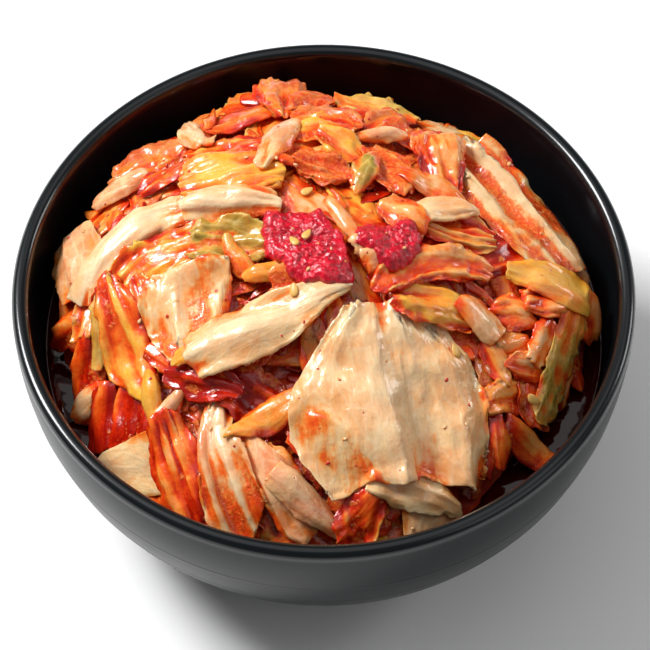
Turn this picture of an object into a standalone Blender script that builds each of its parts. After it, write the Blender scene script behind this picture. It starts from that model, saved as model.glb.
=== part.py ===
"""Kimchi heaped in a dark round bowl, with two lumps of chilli paste on top of it.

The bowl stands on Z = 0 with its axis on the Z axis, and the side that faces the eater is -Y.
Every sub-part is one closed solid: the bowl, the heap of cut cabbage out to its uneven outline,
the ring of brine round the foot of the heap, and the two lumps of paste.
Sizes are in millimetres; MM turns them into metres where a mesh is made.
"""

import math
from collections import namedtuple

import bmesh
import bpy
from mathutils import Vector, noise

MM = 0.001

# ---------------------------------------------------------------- bowl
BOWL_HEIGHT = 62.0
RIM_RADIUS = 75.0
WALL = 4.0
LIP_RADIUS = WALL / 2
SHOULDER_Z = 57.7  # below this height the wall starts to curve in
UNDERSIDE_Z = 4.0  # where the outer curve ends, at the top of the foot ring
UNDERSIDE_RADIUS = 39.6
FLOOR_Z = 8.5
FLOOR_RADIUS = 36.0
FOOT_OUTER = 38.0
FOOT_INNER = 34.0
FOOT_RECESS = 3.5
BOWL_STEPS = 64
CAVITY_RADIUS = RIM_RADIUS - WALL

# ---------------------------------------------------------------- clearances
GAP = 0.35  # between solids that touch
WALL_GAP = 0.55  # between the heap and the facets of the bowl

# ---------------------------------------------------------------- brine
BRINE_Z = 40.0
BRINE_INNER = 55.5
BRINE_STEPS = 64

# ---------------------------------------------------------------- heap
APEX = Vector((0.0, 6.0, BOWL_HEIGHT + 17.5))
SLOPE_POWER = 1.9  # how square the shoulders of the heap are
HEAP_SEGMENTS = 88
TOP_RINGS = 22
RELIEF = 1.6  # height of the folds too small to be leaves of their own
RELIEF_SIZE = 9.0

# Outline of the heap: bearing in degrees from +X, reach from the axis, edge height above the rim.
OutlinePoint = namedtuple("OutlinePoint", "bearing reach edge")
OUTLINE = [
    OutlinePoint(0, 66, -8),
    OutlinePoint(10, 66, -6),
    OutlinePoint(21, 59, -2),
    OutlinePoint(45, 60, 0),
    OutlinePoint(66, 59, 1),
    OutlinePoint(90, 61, 1),
    OutlinePoint(106, 64, 1),
    OutlinePoint(117, 60, 0),
    OutlinePoint(138, 65, -1),
    OutlinePoint(152, 62, -1),
    OutlinePoint(172, 66, -4),
    OutlinePoint(182, 64, -8),
    OutlinePoint(192, 64, -13),
    OutlinePoint(205, 60, -18),
    OutlinePoint(216, 64, -15),
    OutlinePoint(240, 66, -13),
    OutlinePoint(300, 66, -14),
    OutlinePoint(313, 64, -15),
    OutlinePoint(330, 61, -17),
    OutlinePoint(345, 62, -13),
    OutlinePoint(360, 66, -8),
]

# Pieces of cabbage that lie on the heap: centre, size along and across, heading of the length in
# degrees from +X, height of the edge above the heap, and how far the middle is arched above that.
# The right side of a heading is tucked in under its neighbours, by this share of the lift.
TUCK = 0.45
EDGE_SHARE = 0.28  # share of a leaf's half width over which its edge rises
Leaf = namedtuple("Leaf", "x y length width heading lift arch")
LEAVES = [
    Leaf(14, -34, 46, 42, 100, 2.6, 1.8),  # broad pale leaf at the front
    Leaf(-32, -13, 28, 22, 60, 2.8, 3.0),  # folded pocket leaf
    Leaf(-14, -22, 36, 13, 20, 2.2, 0.6),
    Leaf(-21, 19, 24, 17, 10, 2.4, 2.0),
    Leaf(-24, 10, 30, 9, 15, 2.6, 1.6),
    Leaf(-45, 12, 34, 13, 30, 2.8, 2.6),  # white rib bent over the left side
    Leaf(-60, 6, 22, 11, 80, 2.2, 1.2),
    Leaf(-21, -2, 20, 14, 0, 2.8, 2.2),
    Leaf(-38, 2, 24, 14, 25, 2.0, 1.6),
    Leaf(-46, -20, 40, 14, 100, 2.6, 1.8),
    Leaf(-58, -19, 14, 8, 40, 2.0, 1.0),
    Leaf(-47, -34, 20, 14, 95, 2.4, 1.4),
    Leaf(-42, -47, 22, 9, 160, 2.0, 0.6),
    Leaf(-32, -47, 24, 10, 100, 2.2, 1.4),
    Leaf(-21, -48, 32, 11, 115, 2.8, 2.4),
    Leaf(-12, -54, 22, 9, 130, 2.4, 1.6),
    Leaf(-14, -42, 22, 8, 30, 2.6, 0.8),
    Leaf(3, -50, 24, 12, 160, 2.4, 1.4),
    Leaf(24, -55, 16, 12, 60, 2.6, 1.2),
    Leaf(43, -34, 24, 15, 110, 2.4, 1.8),
    Leaf(56, -17, 30, 8, 75, 2.6, 1.4),
    Leaf(49, -11, 18, 12, 20, 2.2, 1.4),
    Leaf(48, 19, 38, 22, 120, 2.6, 1.2),  # wavy pale leaf at the back right
    Leaf(55, 2, 24, 10, 5, 2.6, 1.0),
    Leaf(28, -8, 30, 12, 40, 2.6, 2.8),  # curled arch
    Leaf(29, 10, 24, 15, 30, 2.4, 2.0),
    Leaf(8, 24, 32, 20, 150, 2.6, 2.6),
    Leaf(-12, 52, 20, 12, 100, 3.0, 1.0),
    Leaf(15, 46, 26, 15, 165, 2.8, 2.4),
    Leaf(-32, 39, 20, 9, 110, 3.4, 1.4),
    Leaf(-22, 44, 24, 8, 20, 2.4, 1.6),
    Leaf(-43, 32, 26, 13, 35, 2.4, 2.0),
]

# Dents between the pieces: centre, radius and depth.
Dent = namedtuple("Dent", "x y radius depth")
DENTS = [
    Dent(-8, -33, 10, 6.0),
    Dent(-36, -34, 7, 4.0),
    Dent(36, -20, 7, 3.5),
    Dent(12, 36, 8, 3.0),
    Dent(-36, 20, 6, 2.5),
]

# ---------------------------------------------------------------- chilli paste
Lump = namedtuple("Lump", "x y base length width height heading")
PASTES = {
    "chilli_paste_large": Lump(-4.0, 0.0, BOWL_HEIGHT + 14.5, 21, 18, 8.5, 40),
    "chilli_paste_small": Lump(15.8, 1.5, BOWL_HEIGHT + 13.2, 14, 12, 6.5, 10),
}
NEST_MARGIN = 3.0  # the heap is flattened this far beyond a lump, so that its facets stay clear
NEST_SLOPE = 1.3  # how steeply the heap rises again outside that
LUMP_ROUGHNESS = 2.2
LUMP_SEGMENTS = 24
LUMP_RINGS = 12


def clear_scene():
    """Remove every object, so that only the kimchi and its bowl are left."""
    for item in list(bpy.data.objects):
        bpy.data.objects.remove(item, do_unlink=True)


def make_collection(name):
    """Return a new collection that is linked to the scene."""
    collection = bpy.data.collections.new(name)
    bpy.context.scene.collection.children.link(collection)
    return collection


def make_material(name, color, roughness):
    """Return a Principled material of one colour (linear RGB)."""
    material = bpy.data.materials.new(name)
    material.use_nodes = True
    shader = material.node_tree.nodes["Principled BSDF"]
    shader.inputs["Base Color"].default_value = (*color, 1.0)
    shader.inputs["Roughness"].default_value = roughness
    shader.inputs["Metallic"].default_value = 0.0
    material.diffuse_color = (*color, 1.0)
    return material


def add_object(name, bm, material, collection):
    """Write a bmesh, in millimetres, to a smooth-shaded object in metres."""
    bmesh.ops.scale(bm, vec=Vector((MM, MM, MM)), verts=bm.verts)
    mesh = bpy.data.meshes.new(name)
    bm.to_mesh(mesh)
    bm.free()
    mesh.materials.append(material)
    for face in mesh.polygons:
        face.use_smooth = True
    item = bpy.data.objects.new(name, mesh)
    collection.objects.link(item)
    return item


def add_lathe(name, profile, steps, material, collection):
    """Turn a profile of (radius, z) points about the Z axis.

    The profile runs down the outer side of the solid, so that its faces look outwards.
    """
    bm = bmesh.new()
    verts = [bm.verts.new((radius, 0.0, z)) for radius, z in profile]
    for first, second in zip(verts, verts[1:]):
        bm.edges.new((first, second))
    item = add_object(name, bm, material, collection)
    screw = item.modifiers.new("turn", "SCREW")
    screw.axis = "Z"
    screw.angle = math.tau
    screw.steps = screw.render_steps = steps
    screw.use_merge_vertices = True
    screw.merge_threshold = 0.00002
    screw.use_smooth_shade = True
    return item


def arc(center, radii, start, end, count):
    """Return points of an ellipse's arc, from one angle to the other in degrees."""
    points = []
    for index in range(count + 1):
        angle = math.radians(start + (end - start) * index / count)
        points.append((center[0] + radii[0] * math.cos(angle), center[1] + radii[1] * math.sin(angle)))
    return points


def cavity_radius(z):
    """Return the inner radius of the bowl at a height."""
    depth = (SHOULDER_Z - z) / (SHOULDER_Z - FLOOR_Z)
    if depth <= 0:
        return CAVITY_RADIUS
    return FLOOR_RADIUS + (CAVITY_RADIUS - FLOOR_RADIUS) * math.sqrt(max(0.0, 1 - depth * depth))


def cavity_z(radius):
    """Return the height of the bowl's inner surface at a radius."""
    reach = (radius - FLOOR_RADIUS) / (CAVITY_RADIUS - FLOOR_RADIUS)
    if reach <= 0:
        return FLOOR_Z
    return SHOULDER_Z - (SHOULDER_Z - FLOOR_Z) * math.sqrt(max(0.0, 1 - reach * reach))


def build_bowl(collection):
    """Build the bowl: rounded lip, curved wall, flat floor and a low foot ring."""
    inner = arc(
        (FLOOR_RADIUS, SHOULDER_Z), (CAVITY_RADIUS - FLOOR_RADIUS, SHOULDER_Z - FLOOR_Z), -90, 0, 9
    )
    lip = arc((RIM_RADIUS - LIP_RADIUS, BOWL_HEIGHT - LIP_RADIUS), (LIP_RADIUS, LIP_RADIUS), 180, 0, 6)
    outer = arc(
        (UNDERSIDE_RADIUS, SHOULDER_Z),
        (RIM_RADIUS - UNDERSIDE_RADIUS, SHOULDER_Z - UNDERSIDE_Z),
        0,
        -90,
        9,
    )
    foot = [
        (FOOT_OUTER, 0.0),
        (FOOT_INNER, 0.0),
        (FOOT_INNER, FOOT_RECESS),
        (0.0, FOOT_RECESS),
    ]
    profile = [(0.0, FLOOR_Z)] + inner + lip + outer + foot
    material = make_material("bowl_glaze", (0.021, 0.025, 0.027), 0.32)
    return add_lathe("bowl", profile, BOWL_STEPS, material, collection)


def build_brine(collection):
    """Build the brine: a ring between the heap and the bowl, up to its level."""
    low = cavity_z(BRINE_INNER) + GAP
    bend = (low + BRINE_Z) / 2
    profile = [
        (BRINE_INNER, low),
        (BRINE_INNER, BRINE_Z),
        (cavity_radius(BRINE_Z) - GAP, BRINE_Z),
        (cavity_radius(bend) - GAP, bend),
        (BRINE_INNER, low),
    ]
    material = make_material("brine_sauce", (0.15, 0.012, 0.004), 0.12)
    item = add_lathe("brine", profile[:-1], BRINE_STEPS, material, collection)
    close_profile(item)
    return item


def close_profile(item):
    """Join the last point of a profile to its first, so that the lathe makes a closed ring."""
    bm = bmesh.new()
    bm.from_mesh(item.data)
    bm.verts.ensure_lookup_table()
    bm.edges.new((bm.verts[len(bm.verts) - 1], bm.verts[0]))
    bm.to_mesh(item.data)
    bm.free()


def blend(values, bearing, field):
    """Return an outline value at a bearing, eased between the listed points."""
    bearing %= 360
    for first, second in zip(values, values[1:]):
        if first.bearing <= bearing <= second.bearing:
            share = (bearing - first.bearing) / (second.bearing - first.bearing)
            share = share * share * (3 - 2 * share)
            return getattr(first, field) * (1 - share) + getattr(second, field) * share
    raise ValueError(f"no outline at bearing {bearing}")


def leaf_height(leaf, x, y):
    """Return how far a leaf lifts the heap at a point, or 0 where it doesn't reach."""
    heading = math.radians(leaf.heading)
    along = ((x - leaf.x) * math.cos(heading) + (y - leaf.y) * math.sin(heading)) / (leaf.length / 2)
    across = ((y - leaf.y) * math.cos(heading) - (x - leaf.x) * math.sin(heading)) / (leaf.width / 2)
    spread = abs(along) ** 3 + abs(across) ** 3
    if spread >= 1:
        return 0.0
    edge = min(1.0, (1 - spread) / (3 * EDGE_SHARE))
    return edge * (leaf.lift * (1 + TUCK * across) + leaf.arch * (1 - across * across))


def dent_depth(dent, x, y):
    """Return how far a dent lowers the heap at a point."""
    distance = math.hypot(x - dent.x, y - dent.y) / dent.radius
    return dent.depth * (1 - distance * distance) ** 2 if distance < 1 else 0.0


def nest_height(x, y):
    """Return the height that the heap keeps below, under and round a lump of paste."""
    height = math.inf
    for lump in PASTES.values():
        outside = math.hypot(x - lump.x, y - lump.y) - lump.length / 2 - NEST_MARGIN
        height = min(height, lump.base - GAP + NEST_SLOPE * max(0.0, outside))
    return height


def heap_height(share, bearing):
    """Return the heap's height at a share of its reach (0 at the apex, 1 at the edge)."""
    reach = blend(OUTLINE, bearing, "reach")
    edge = BOWL_HEIGHT + blend(OUTLINE, bearing, "edge")
    angle = math.radians(bearing)
    x = APEX.x * (1 - share) + reach * math.cos(angle) * share
    y = APEX.y * (1 - share) + reach * math.sin(angle) * share
    height = APEX.z - (APEX.z - edge) * share**SLOPE_POWER
    folds = noise.noise(Vector((x, y, 0.0)) / RELIEF_SIZE) + 0.5 * noise.noise(Vector((y, x, 9.0)) / 4.0)
    height += RELIEF * folds * min(1.0, 6 * (1 - share))
    height += max(leaf_height(leaf, x, y) for leaf in LEAVES) * min(1.0, 5 * (1 - share))
    height -= sum(dent_depth(dent, x, y) for dent in DENTS)
    return Vector((x, y, min(height, nest_height(x, y))))


def under_profile(bearing):
    """Return the heap's lower outline at a bearing, from its edge in to the axis.

    It hangs a little over the brine, steps down inside the ring of brine and follows the bowl.
    """
    reach = blend(OUTLINE, bearing, "reach")
    inside = BRINE_INNER - GAP
    points = [
        (reach - 0.6, BRINE_Z + 2.2),
        (reach - 1.8, BRINE_Z + GAP),
        (inside, BRINE_Z + GAP),
        (inside, cavity_z(inside) + WALL_GAP),
    ]
    for radius in (50.0, 43.0, FLOOR_RADIUS - WALL_GAP):
        points.append((radius, cavity_z(radius) + WALL_GAP))
    return points


def build_heap(collection):
    """Build the heap of cabbage as one solid, shaped from a sphere ring by ring."""
    lower = len(under_profile(0.0)) + 1
    rings = TOP_RINGS + lower
    bm = bmesh.new()
    bmesh.ops.create_uvsphere(bm, u_segments=HEAP_SEGMENTS, v_segments=rings, radius=1.0)
    for vert in bm.verts:
        ring = round(math.acos(max(-1.0, min(1.0, vert.co.z))) / math.pi * rings)
        bearing = math.degrees(math.atan2(vert.co.y, vert.co.x)) if 0 < ring < rings else 0.0
        if ring <= TOP_RINGS:
            share = (ring / TOP_RINGS) ** 0.85
            vert.co = heap_height(share, bearing)
        elif ring < rings:
            radius, z = under_profile(bearing)[ring - TOP_RINGS - 1]
            angle = math.radians(bearing)
            vert.co = Vector((radius * math.cos(angle), radius * math.sin(angle), z))
        else:
            vert.co = Vector((0.0, 0.0, FLOOR_Z + WALL_GAP))
    bmesh.ops.recalc_face_normals(bm, faces=bm.faces)
    material = make_material("kimchi_cabbage", (0.80, 0.27, 0.08), 0.35)
    return add_object("kimchi_heap", bm, material, collection)


def build_paste(name, lump, collection):
    """Build a rough lump of chilli paste with a flat underside."""
    bm = bmesh.new()
    bmesh.ops.create_uvsphere(bm, u_segments=LUMP_SEGMENTS, v_segments=LUMP_RINGS, radius=1.0)
    heading = math.radians(lump.heading)
    for vert in bm.verts:
        place = vert.co + Vector((lump.x, 0.0, 0.0))
        lobes = noise.noise(place * 1.7) + 0.5 * noise.noise(place * 4.1)
        rough = 1 + LUMP_ROUGHNESS / lump.height * lobes
        x, y, z = vert.co * rough
        x *= lump.length / 2
        y *= lump.width / 2
        turned_x = x * math.cos(heading) - y * math.sin(heading)
        turned_y = x * math.sin(heading) + y * math.cos(heading)
        height = lump.height * z if z > 0 else 0.35 * z
        vert.co = Vector((lump.x + turned_x, lump.y + turned_y, lump.base + max(0.0, height + 0.35)))
    flat = [vert for vert in bm.verts if vert.co.z <= lump.base + 0.001]
    for vert in flat:
        vert.co.z = lump.base
    bmesh.ops.recalc_face_normals(bm, faces=bm.faces)
    material = make_material(name + "_paste", (0.45, 0.008, 0.02), 0.4)
    return add_object(name, bm, material, collection)


def main():
    """Build the kimchi, its bowl, the brine and the paste."""
    clear_scene()
    collection = make_collection("kimchi_bowl")
    build_bowl(collection)
    build_heap(collection)
    build_brine(collection)
    for name, lump in PASTES.items():
        build_paste(name, lump, collection)


main()
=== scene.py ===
"""The looks of a bowl of kimchi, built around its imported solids.

The bowl, the brine and the two lumps of chilli paste are remade finely.  The heap becomes a core
of crushed cabbage with several hundred cut leaves, stems and shreds laid on it one after another,
each draped over what already lies there.  The paste, chilli flakes, garlic and sesame go on top.
Sizes are in millimetres until a mesh is written, and the stage's are in metres.
"""

from __future__ import annotations

import logging
import math
from dataclasses import dataclass, field
from enum import Enum
from functools import partial
from typing import Any, Sequence

import bmesh
import bpy
import numpy as np
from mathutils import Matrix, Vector

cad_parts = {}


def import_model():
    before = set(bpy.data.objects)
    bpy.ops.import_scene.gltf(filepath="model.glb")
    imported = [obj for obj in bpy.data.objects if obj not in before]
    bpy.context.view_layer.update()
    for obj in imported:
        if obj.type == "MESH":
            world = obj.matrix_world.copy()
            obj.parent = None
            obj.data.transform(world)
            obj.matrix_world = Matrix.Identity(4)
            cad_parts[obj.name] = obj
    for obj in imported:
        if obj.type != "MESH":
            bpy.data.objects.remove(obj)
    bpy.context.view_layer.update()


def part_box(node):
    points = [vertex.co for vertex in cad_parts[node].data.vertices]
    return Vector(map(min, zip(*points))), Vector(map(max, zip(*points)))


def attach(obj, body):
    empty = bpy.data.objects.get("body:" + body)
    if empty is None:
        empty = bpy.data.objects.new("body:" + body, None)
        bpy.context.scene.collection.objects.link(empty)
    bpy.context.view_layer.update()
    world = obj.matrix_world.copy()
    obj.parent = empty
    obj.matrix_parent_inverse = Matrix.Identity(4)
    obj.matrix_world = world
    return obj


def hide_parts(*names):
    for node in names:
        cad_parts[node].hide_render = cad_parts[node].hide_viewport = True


LOG = logging.getLogger("kimchi")
MM = 0.001
MID = 0.5  # the middle value of a noise node

Array = np.ndarray
Color = tuple[float, float, float, float]
Point = tuple[float, float, float]


# --------------------------------------------------------------------------- shader maths


def tint(red: float, green: float, blue: float) -> Color:
    """Turn a display colour into the linear colour that shaders take.

    Args:
        red: Red from 0 to 255.
        green: Green from 0 to 255.
        blue: Blue from 0 to 255.

    Returns:
        The linear colour, with an alpha of 1.
    """
    linear = []
    for part in (red, green, blue):
        share = part / 255
        linear.append(share / 12.92 if share <= 0.04045 else ((share + 0.055) / 1.055) ** 2.4)
    return (linear[0], linear[1], linear[2], 1.0)


class Signal:
    """An output socket that takes part in Python arithmetic by adding Math nodes."""

    def __init__(self, graph: Graph, socket: bpy.types.NodeSocket) -> None:
        """Wrap a socket of a graph."""
        self.graph = graph
        self.socket = socket

    def _math(self, operation: str, *values: Any) -> Signal:
        """Add a Math node of an operation on the given values."""
        return self.graph.take("ShaderNodeMath", "Value", dict(enumerate(values)), operation=operation)

    def __add__(self, other: Any) -> Signal:
        """Return the sum."""
        return self._math("ADD", self, other)

    __radd__ = __add__

    def __sub__(self, other: Any) -> Signal:
        """Return the difference."""
        return self._math("SUBTRACT", self, other)

    def __rsub__(self, other: Any) -> Signal:
        """Return the difference, from a plain number."""
        return self._math("SUBTRACT", other, self)

    def __mul__(self, other: Any) -> Signal:
        """Return the product."""
        return self._math("MULTIPLY", self, other)

    __rmul__ = __mul__

    def above(self, edge: float, width: float) -> Signal:
        """Return a soft step that goes from 0 to 1 over a width past an edge."""
        values = {"Value": self, "From Min": edge, "From Max": edge + width}
        return self.graph.take("ShaderNodeMapRange", "Result", values, interpolation_type="SMOOTHSTEP")

    def limit(self) -> Signal:
        """Return the value kept between 0 and 1."""
        return self.graph.take("ShaderNodeClamp", "Result", {"Value": self, "Min": 0.0, "Max": 1.0})


def add_node(tree: bpy.types.NodeTree, kind: str, values: dict[Any, Any], **settings: Any) -> bpy.types.Node:
    """Add a node to a tree.

    Args:
        tree: The tree.
        kind: The node's type.
        values: Socket name or number to a plain value, a Signal or an output socket.
        settings: The node's own settings, which are set first.

    Returns:
        The new node.
    """
    made = tree.nodes.new(kind)
    for key, value in settings.items():
        setattr(made, key, value)
    for key, value in values.items():
        source = value.socket if isinstance(value, Signal) else value
        if isinstance(source, bpy.types.NodeSocket):
            tree.links.new(source, made.inputs[key])
        else:
            made.inputs[key].default_value = source
    return made


class Graph:
    """A material's node tree."""

    def __init__(self, name: str) -> None:
        """Start a material with an empty tree.

        Args:
            name: The material's name.
        """
        self.material = bpy.data.materials.new(name)
        self.material.use_nodes = True
        self.tree = self.material.node_tree
        self.tree.nodes.clear()
        self.node = partial(add_node, self.tree)
        self.place = self.take("ShaderNodeTexCoord", "Object", {})

    def take(self, kind: str, output: str | int, values: dict[Any, Any], **settings: Any) -> Signal:
        """Add a node and return one of its outputs as a Signal."""
        return Signal(self, self.node(kind, values, **settings).outputs[output])

    def ramp(self, value: Signal, stops: Sequence[tuple[float, Color]]) -> Signal:
        """Colour a value by a ramp.

        Args:
            value: The value.
            stops: Each stop's position and colour, rising.

        Returns:
            The colour.
        """
        made = self.node("ShaderNodeValToRGB", {"Fac": value})
        elements = made.color_ramp.elements
        while len(elements) < len(stops):
            elements.new(1.0)
        for element, (position, color) in zip(elements, stops):
            element.position = position
            element.color = color
        return Signal(self, made.outputs["Color"])

    def mix(self, factor: Any, first: Any, second: Any) -> Signal:
        """Mix two colours; a factor of 1 gives the second."""
        return self.take("ShaderNodeMix", 2, {0: factor, 6: first, 7: second}, data_type="RGBA")

    def noise(self, size: float, detail: float = 2.0) -> Signal:
        """Return a noise whose lumps are about a size in millimetres."""
        values = {"Vector": self.place, "Scale": 1 / (size * MM), "Detail": detail}
        return self.take("ShaderNodeTexNoise", "Fac", values)

    def stretch(self, vector: Signal, factors: Point) -> Signal:
        """Multiply the parts of a vector, to draw out the pattern that reads it."""
        return self.take("ShaderNodeVectorMath", "Vector", {0: vector, 1: factors}, operation="MULTIPLY")

    def bump(self, height: Signal, depth: float, under: Signal | None = None) -> Signal:
        """Turn a height into a normal.

        Args:
            height: The relief, from 0 to 1.
            depth: Its depth, in millimetres.
            under: The normal of a coarser relief that this one is added to.

        Returns:
            The normal.
        """
        values = {"Height": height, "Strength": 1.0, "Distance": depth * MM}
        if under is not None:
            values["Normal"] = under
        return self.take("ShaderNodeBump", "Normal", values)

    def finish(self, values: dict[str, Any]) -> bpy.types.Material:
        """Close the tree with a Principled shader.

        Args:
            values: Socket name to a plain value or a Signal.

        Returns:
            The material.
        """
        shader = self.node("ShaderNodeBsdfPrincipled", values)
        self.node("ShaderNodeOutputMaterial", {"Surface": shader.outputs["BSDF"]})
        return self.material


# --------------------------------------------------------------------------- finishes


@dataclass(frozen=True)
class BowlFinish:
    """Satin charcoal glaze with a fine grain, glossier at the lip; sizes in millimetres."""

    dark: Color = tint(6, 11, 14)
    light: Color = tint(10, 16, 19)
    cloud: float = 14.0
    grain: float = 0.35
    relief: float = 0.01
    roughness: float = 0.27
    cloud_roughness: float = 0.08
    specular: float = 0.18
    coat: float = 0.04
    lip_coat: float = 0.6
    lip_height: float = 58.5
    lip_blend: float = 2.0
    coat_roughness: float = 0.14

    def build(self) -> bpy.types.Material:
        """Build the glaze.

        Returns:
            The bowl's material.
        """
        graph = Graph("bowl_glaze")
        cloud = graph.noise(self.cloud)
        height = graph.take("ShaderNodeSeparateXYZ", "Z", {0: graph.place})
        lip = height.above(self.lip_height * MM, self.lip_blend * MM)
        return graph.finish(
            {
                "Base Color": graph.mix(cloud, self.dark, self.light),
                "Roughness": self.roughness + self.cloud_roughness * cloud,
                "Normal": graph.bump(graph.noise(self.grain, 1.0), self.relief),
                "Specular IOR Level": self.specular,
                "Coat Weight": self.coat + self.lip_coat * lip,
                "Coat Roughness": self.coat_roughness,
            }
        )


@dataclass(frozen=True)
class BrineFinish:
    """Dark red brine, smooth and nearly black; sizes in millimetres."""

    light: Color = tint(70, 12, 6)
    dark: Color = tint(28, 6, 4)
    swirl: float = 7.0
    ripple: float = 5.0
    relief: float = 0.15
    roughness: float = 0.05

    def build(self) -> bpy.types.Material:
        """Return the brine's material."""
        graph = Graph("brine_sauce")
        return graph.finish(
            {
                "Base Color": graph.mix(graph.noise(self.swirl), self.light, self.dark),
                "Roughness": self.roughness,
                "Normal": graph.bump(graph.noise(self.ripple, 1.0), self.relief),
            }
        )


# How the dye of the sauce looks, from a touch of it to soaked right through.
DYE = (
    (0.18, tint(252, 192, 108)),
    (0.38, tint(250, 142, 48)),
    (0.60, tint(240, 92, 22)),
    (0.82, tint(212, 44, 8)),
    (1.0, tint(168, 18, 4)),
)

# The pulp that clings to the leaves, from its hollows to its crests.
PULP = (
    (0.34, tint(206, 44, 12)),
    (0.47, tint(232, 88, 28)),
    (0.62, tint(244, 140, 60)),
)


@dataclass(frozen=True)
class CabbageFinish:
    """Wet, half clear cabbage, stained by sauce from its edges and creases inwards, with painted shade in
    its creases and hollows.

    The attribute "dress" holds, point by point: red the stain, which also carries painted shade in creases
    and hollows and painted light on crests, green the green of the leaf, blue how pale the rib is, and
    alpha the pulp of the sauce that clings to it.  Veins and the net between them follow the sheet, in
    centimetres; the other patterns are in millimetres.

    Attributes:
        name: The material's name.
        flesh: Its own colour.
        shade: Its colour in cloudy patches.
        rib: Its colour where it is thick and white.
        leafy: Its colour where it is green.
        roughness: Roughness of the clean surface.
        clearness: How much light goes into it.
        cloud: Size of the broad patches.
        patch: Size of the lesser patches.
        grain: Size of the grains of sauce.
        vein_draw: How the veins are drawn out along the sheet and across it.
        vein_scale: How close the veins lie.
        net_draw: How the net is drawn out.
        net_line: How thin the lines of the net are.
        relief: Depth of the veins and patches.
        gloss_relief: Depth of the wet film's waves.
    """

    name: str
    flesh: Color
    shade: Color
    rib: Color
    leafy: Color = tint(142, 124, 30)
    roughness: float = 0.22
    clearness: float = 0.68
    cloud: float = 7.0
    patch: float = 2.2
    grain: float = 0.8
    vein_draw: Point = (0.16, 1.0, 1.0)
    vein_scale: float = 9.0
    net_draw: Point = (1.4, 3.4, 1.0)
    net_line: float = 9.0
    relief: float = 0.34
    gloss_relief: float = 0.26

    def _veins(self, graph: Graph) -> tuple[Signal, Signal]:
        """Draw the patterns that follow the sheet.

        Args:
            graph: The material's tree.

        Returns:
            The veins and the net between them.
        """
        route = graph.take("ShaderNodeUVMap", "UV", {}, uv_map="along")
        drawn = {"Vector": graph.stretch(route, self.vein_draw), "Scale": self.vein_scale, "Detail": 4.0}
        netted = {"Vector": graph.stretch(route, self.net_draw), "Scale": 1.0}
        edges = graph.take("ShaderNodeTexVoronoi", "Distance", netted, feature="DISTANCE_TO_EDGE")
        return graph.take("ShaderNodeTexNoise", "Fac", drawn), 1.0 - (edges * self.net_line).limit()

    def build(self) -> bpy.types.Material:
        """Build the finish of one kind of cabbage.

        Returns:
            The material.
        """
        graph = Graph(self.name)
        held = graph.node("ShaderNodeAttribute", {}, attribute_name="dress")
        parts = graph.node("ShaderNodeSeparateColor", {"Color": held.outputs["Color"]})
        stain, green, pale = (Signal(graph, parts.outputs[name]) for name in ("Red", "Green", "Blue"))
        sauce = Signal(graph, held.outputs["Alpha"])
        veins, net = self._veins(graph)
        cloud, patch, grain = (graph.noise(size, 3.0) for size in (self.cloud, self.patch, self.grain))
        flesh = graph.mix(cloud.above(0.36, 0.24), self.flesh, self.shade)
        flesh = graph.mix((pale * (0.3 + 1.2 * veins)).limit(), flesh, self.rib)
        flesh = graph.mix((green * patch * 1.9).limit(), flesh, self.leafy)
        flesh = graph.mix(net * 0.30, flesh, self.rib)
        # The stain that drives the dye carries painted shade in creases and hollows as well as sauce.
        soak = stain
        for pattern, share in ((cloud, 0.50), (patch, 0.40), (grain, 0.22), (veins, 0.55)):
            soak = soak + share * (pattern - MID)
        color = graph.mix(soak.above(0.14, 0.40), flesh, graph.ramp(soak, DYE))
        pulp = graph.ramp(0.6 * grain + 0.4 * patch, PULP)
        smear = (sauce + 0.9 * (patch - MID) + 0.4 * (grain - MID)).above(0.40, 0.22)
        color = graph.mix(smear * 0.8, color, pulp)
        normal = graph.bump(0.7 * veins + 0.3 * patch + 0.08 * net, self.relief)
        normal = graph.bump(graph.noise(1.0) * (0.5 + smear), self.gloss_relief, normal)
        return graph.finish(
            {
                "Base Color": color,
                "Roughness": self.roughness + 0.25 * (grain - 0.2) - 0.08 * stain,
                "Normal": normal,
                "Subsurface Weight": self.clearness,
                "Subsurface Radius": (1.0, 0.85, 0.7),
                "Subsurface Scale": 0.0012,
                "Specular IOR Level": 0.4,
                "Coat Weight": 0.5,
                "Coat Roughness": 0.05,
            }
        )


@dataclass(frozen=True)
class MashFinish:
    """Wet pulp, for the core, the paste, the chilli flakes and the garlic; sizes in millimetres."""

    name: str
    low: Color
    high: Color
    size: float
    roughness: float = 0.22
    relief: float = 0.35
    clearness: float = 0.2

    def build(self) -> bpy.types.Material:
        """Build the finish of the pulp.

        Returns:
            The material.
        """
        graph = Graph(self.name)
        lump = graph.noise(self.size, 4.0)
        cloud = graph.noise(self.size * 5)
        color = graph.mix((lump * 0.7 + cloud * 0.5).above(0.45, 0.35), self.low, self.high)
        return graph.finish(
            {
                "Base Color": color,
                "Roughness": self.roughness + 0.15 * lump,
                "Normal": graph.bump(lump, self.relief),
                "Subsurface Weight": self.clearness,
                "Subsurface Radius": (1.0, 0.25, 0.12),
                "Subsurface Scale": 0.0015,
                "Coat Weight": 0.4,
                "Coat Roughness": 0.08,
            }
        )


@dataclass(frozen=True)
class SeedFinish:
    """The matt, pale gold coat of a sesame seed; sizes in millimetres."""

    light: Color = tint(236, 196, 112)
    dark: Color = tint(214, 150, 62)
    cloud: float = 1.4
    relief: float = 0.05
    roughness: float = 0.38

    def build(self) -> bpy.types.Material:
        """Return the seeds' material."""
        graph = Graph("sesame_coat")
        tone = graph.noise(self.cloud)
        return graph.finish(
            {
                "Base Color": graph.mix(tone, self.light, self.dark),
                "Roughness": self.roughness,
                "Normal": graph.bump(tone, self.relief),
            }
        )


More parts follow.
